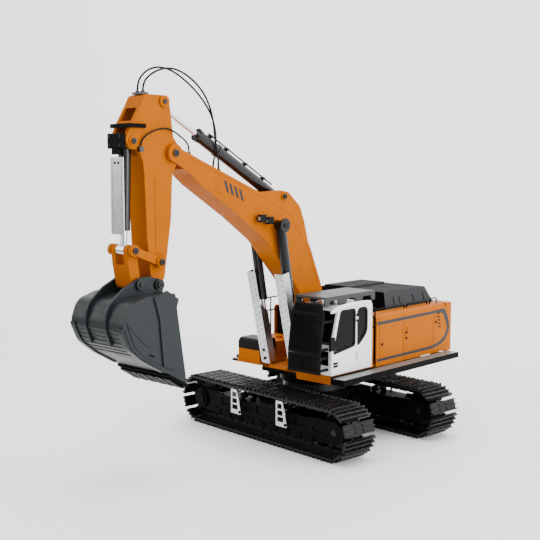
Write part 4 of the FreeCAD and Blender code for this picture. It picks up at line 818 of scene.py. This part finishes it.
def panel_details():
    """Dark vent inserts, seams, latches and the hinge blocks of the engine doors."""
    for side, name in SIDES:
        face = side * BODY_HALF
        dark = bmesh.new()
        for i in range(5):
            x, z = -222 - 1.2 * i, 196 - 6.5 * i
            outline = mm([(x - 5.4, z - 1.5), (x + 4.2, z - 1.1), (x + 5.4, z + 1.5), (x - 4.2, z + 1.1)])
            add_prism(dark, outline, (face - side * 0.8) * MM, (face + side * 0.1) * MM)
        for x, z in ((-118, 170), (-118, 160), (-44, 158), (-214, 178)):
            add_side_box(dark, (x - 2.6, z), (x + 2.6, z + 4), face, side * 0.8)
        for x in (-36, -110, -208):
            add_side_box(dark, (x - 0.35, 122), (x + 0.35, 206), face, -side * 0.7)
        finish_mesh(f"panel_marks_{name}", dark, "upper_structure", "trim_plastic", smooth=False)
        rim = bmesh.new()
        for x0, x1 in ((-106, -40), (-204, -114)):
            ring = mm([(x0, 139.5), (x1, 139.5), (x1, 190), (x0, 190)])
            add_ring(rim, rounded(ring, 3 * MM), rounded(offset(ring, -0.7 * MM), 2.5 * MM),
                     (face - side * 0.2) * MM, (face + side * 0.22) * MM)
        finish_mesh(f"panel_rims_{name}", rim, "upper_structure", "orange_paint")


def bucket_trim():
    """Slats and wear bands on the bucket's back, and raised lines with an oval on its sides."""
    back = mm([(474, 275), (486, 244), (472, 214), (446, 194), (410, 173.4)])
    radii = (24 * MM, 26 * MM, 0.1 * MM)
    path = [p for p in smooth_line(back, radii=radii) if p.y < 0.246]
    wear = bmesh.new()
    for low, high in ((-BUCKET_HALF, -50), (50, BUCKET_HALF)):
        skin = [(p.x, p.y) for p in path]
        add_prism(wear, skin + offset_line(path, 2.2 * MM)[::-1], low * MM, high * MM)
    for k in range(7):
        z = (239 - 6.4 * k) * MM
        number = next(i for i, p in enumerate(path) if p.y < z)
        a, b = path[number - 1], path[number]
        at, along = a.lerp(b, (a.y - z) / (a.y - b.y)), (b - a).normalized()
        out = Vector((-along.y, along.x))
        corners = [at - along * 1.5 * MM, at + along * 1.5 * MM, at + along * 0.8 * MM + out * MM,
                   at - along * 0.8 * MM + out * MM]
        add_prism(wear, [tuple(c) for c in corners], -48 * MM, 48 * MM)
    finish_mesh("bucket_wear_strips", wear, "bucket_body", "bucket_grey", bevel=0.25 * MM)
    angles = [math.pi * k / 12 for k in range(24)]
    oval = mm([(432.5 + 6.2 * math.cos(a) + 0.6 * math.sin(a), 199.5 + 1.8 * math.cos(a) + 2.2 * math.sin(a))
               for a in angles])
    lines = ((1, [(480, 243), (473.5, 223.5), (457.5, 202), (444, 194.6), (413, 178.6)]),
             (0.6, [(476, 250), (465, 219), (450, 203), (415, 184.5)]),
             (0.7, [(478, 253), (446.5, 218.5), (438, 213), (427, 213)]))
    for side, name in SIDES:
        y = side * BUCKET_HALF * MM
        trim = bmesh.new()
        for half, line in lines:
            add_strip(trim, smooth_line(mm(line)), half * MM, y - side * 0.1 * MM, y + side * 0.9 * MM)
        finish_mesh(f"bucket_lines_{name}", trim, "bucket_body", "bucket_grey")
        dimple = bmesh.new()
        add_prism(dimple, oval, y - side * 0.1 * MM, y + side * 0.2 * MM)
        finish_mesh(f"bucket_oval_{name}", dimple, "bucket_body", "trim_plastic", smooth=False)


def hard_lines():
    """Two steel pipes with clips along the stick cylinder, and bolts on its gland."""
    base, tip = PIVOTS["stick_cylinder_tilt"], Vector((369, 0, 564)) * MM
    along = (tip - base).normalized()
    above = Vector((-along.z, 0, along.x))
    pipes = bmesh.new()
    for y, end in ((5.4, 186), (-5.4, 150)):
        at = base + along * 20 * MM + above * 11.6 * MM + Vector((0, y * MM, 0))
        add_rod(pipes, 1.3 * MM, (end - 20) * MM, at, along)
    finish_mesh("stick_cylinder_pipes", pipes, "stick_barrel", "cylinder_black")
    clips = bmesh.new()
    axes = Matrix(((along.x, 0, above.x, 0), (0, 1, 0, 0), (along.z, 0, above.z, 0), (0, 0, 0, 1)))
    matrix = Matrix.Translation(base) @ axes
    for x in (40, 88, 136, 176):
        add_box(clips, Vector((x, -8, 9)) * MM, Vector((x + 5, 8, 12.4)) * MM, matrix)
    for k in range(8):
        angle = math.pi * (k + 0.5) / 4
        across = above * math.cos(angle) + Vector((0, math.sin(angle), 0))
        add_bolt(clips, base + (along * 203 + across * 8) * MM, along, 1.1 * MM, 1.2 * MM)
    finish_mesh("stick_cylinder_clips", clips, "stick_barrel", "pin_steel", bevel=0.3 * MM)


def guard_screws():
    """Screws and hole rims on the silver rod guards, and screws and folds on the bucket cylinder's shield."""
    turn = math.atan2(164, 38)
    along = Vector((math.cos(turn), 0, math.sin(turn)))
    normal = Vector((math.sin(turn), 0, -math.cos(turn)))
    dome = mm([(0, 0), (2.7, 0), (2.6, 1.2), (1.4, 1.9), (0, 1.9)])
    rim = mm([(0.85, -0.05), (1.25, -0.05), (1.25, 0.12), (0.85, 0.12), (0.85, -0.05)])
    bm = bmesh.new()
    for side in (1, -1):
        foot = Vector((96, side * 32, 127))
        for far in (9.5, 25):
            add_lathe(bm, dome, (foot + along * far) * MM, normal, 24)
        for i in range(15):
            for row in (-1, 1):
                at = (foot + along * (9 + 10.5 * i + 2.6 * row) + Vector((0, row * 4.4, 0))) * MM
                add_lathe(bm, rim, at, normal, 16)
    finish_mesh("guard_screws", bm, "boom_rods", "trim_plastic")
    shield = bmesh.new()
    for y in (-4, 4):
        add_bolt(shield, Vector((443.3, y, 474)) * MM, (1, 0, 0), 1.6 * MM, 1.1 * MM)
    finish_mesh("shield_screws", shield, "bucket_barrel", "pin_steel")
    folds = bmesh.new()
    for y in (-10.5, 10.5):
        add_box(folds, Vector((443.2, y - 0.5, 372)) * MM, Vector((443.9, y + 0.5, 481)) * MM)
    finish_mesh("shield_folds", folds, "bucket_barrel", "sheet_silver", bevel=0.2 * MM)


def nose_details():
    """Screws on the stick's valve block, and raised beads on the stick's flanks."""
    bm = bmesh.new()
    for y, z in ((-12, 499), (12, 499), (-12, 511), (12, 511)):
        add_bolt(bm, Vector((446, y, z)) * MM, (1, 0, 0), 1.7 * MM, 1.2 * MM)
    finish_mesh("nose_screws", bm, "stick_arm", "pin_steel")
    profile = mm([(12.5, -0.2), (12.8, 0.7), (13.8, 0.7), (14.1, -0.2)])
    seam = [Vector((387, z)) * MM for z in (346, 450)]
    for side, name in SIDES:
        face = side * STICK_HALF * MM
        trim = bmesh.new()
        add_lathe(trim, profile, PIVOTS["rocker_tilt"] + Vector((0, face, 0)), (0, side, 0), 40)
        add_strip(trim, seam, 1 * MM, face - side * 0.1 * MM, face + side * 0.5 * MM)
        finish_mesh(f"stick_beads_{name}", trim, "stick_arm", "orange_paint")


# ---------------------------------------------------------------- undercarriage details

TURN = Matrix.Rotation(math.radians(85), 4, "Z")
GAUGE, TRACK_LENGTH, TRACK_HEIGHT = 213.5, 426.0, 89.0
GROUSER, SHOE_PLATE, LINK_RISE = 4, 3, 4.5
FRAME_FACE = GAUGE / 2 + 20


def shoe_stations(count=42):
    """Centre point and outward angle of each shoe round one track's loop."""
    end_radius = TRACK_HEIGHT / 2
    axle_x = TRACK_LENGTH / 2 - end_radius
    pin_radius = end_radius - GROUSER - SHOE_PLATE - LINK_RISE
    straight, arc = 2 * axle_x, math.pi * pin_radius
    pitch = 2 * (straight + arc) / count
    stations = []
    for i in range(count):
        lap, along = divmod(i * pitch + axle_x, straight + arc)
        turn = 180 * (lap % 2)
        way = -1 if turn else 1
        if along <= straight:
            stations.append((way * (along - axle_x), -90 + turn))
        else:
            stations.append((way * axle_x, -90 + turn + 180 * (along - straight) / arc))
    return stations


def shoe_bolts():
    """Four bolts on the outer face of every shoe."""
    head = mm([(0, -0.1), (1.9, -0.1), (1.9, 1.1), (1.5, 1.5), (0, 1.5)])
    bm = bmesh.new()
    for side in (1, -1):
        for x, angle in shoe_stations():
            middle = Matrix.Translation(Vector((x, side * GAUGE / 2, TRACK_HEIGHT / 2)) * MM)
            station = TURN @ middle @ Matrix.Rotation(math.radians(-angle), 4, "Y")
            out = station.to_3x3() @ Vector((1, 0, 0))
            for y in (-9, 9):
                for z in (-4.1, 4.1):
                    at = station @ (Vector((TRACK_HEIGHT / 2 - GROUSER, y, z)) * MM)
                    add_lathe(bm, head, at, out, 6)
    finish_mesh("shoe_bolts", bm, "undercarriage", "track_black")


def frame_bolts():
    """Roller shaft caps with their bolts, and step bolts, on the outer faces of the side frames."""
    cap = mm([(0, -0.2), (5.4, -0.2), (5.4, 1.2), (4.6, 2), (2.4, 2), (2.2, 1.3), (0, 1.3)])
    head = mm([(0, -0.1), (2.7, -0.1), (2.7, 1), (2.2, 1.6), (0, 1.6)])
    bm = bmesh.new()
    for side in (1, -1):
        y = side * FRAME_FACE * MM
        out = TURN.to_3x3() @ Vector((0, side, 0))
        for i in range(-4, 5):
            at = TURN @ Vector((30 * i * MM, y, 25.4 * MM))
            add_lathe(bm, cap, at, out, 24)
            for reach in (-8.5, 8.5):
                at = TURN @ Vector(((30 * i + reach) * MM, y, 33 * MM))
                add_bolt(bm, at, out, 1.5 * MM, 1.3 * MM)
        for x in (-60, 58):
            at = TURN @ Vector(((x + 10.5) * MM, side * (GAUGE / 2 + 31) * MM, 40.5 * MM))
            add_lathe(bm, head, at, out, 20)
    finish_mesh("track_frame_bolts", bm, "undercarriage", "black_paint")


def floor():
    bm = bmesh.new()
    bmesh.ops.create_circle(bm, cap_ends=True, segments=96, radius=2.5)
    mesh = bpy.data.meshes.new("floor")
    bm.to_mesh(mesh)
    bm.free()
    obj = bpy.data.objects.new("floor", mesh)
    obj.location.z = LOW[2] - 0.0002
    bpy.context.scene.collection.objects.link(obj)
    mesh.materials.append(floor_material())


def dress_cad():
    """Each carried-over CAD node wears its slot's material; two nodes wear a two-tone version."""
    special = {"upper_deck": "deck_paint", "cab_guards": "guard_paint"}
    for part in RECORD["subparts"]:
        chosen = special.get(part["node"], part["material_slot"])
        for socket in NODES[part["node"]].material_slots:
            socket.material = MATERIALS[chosen]


camera()
lights()
MATERIALS = make_materials()
dress_cad()
floor()
hoses()
pin_caps()
boom_trim()
lamp_lenses()
window_frames()
windscreen_frame()
visor()
cab_marks()
side_stripe()
panel_details()
bucket_trim()
hard_lines()
guard_screws()
nose_details()
shoe_bolts()
frame_bolts()
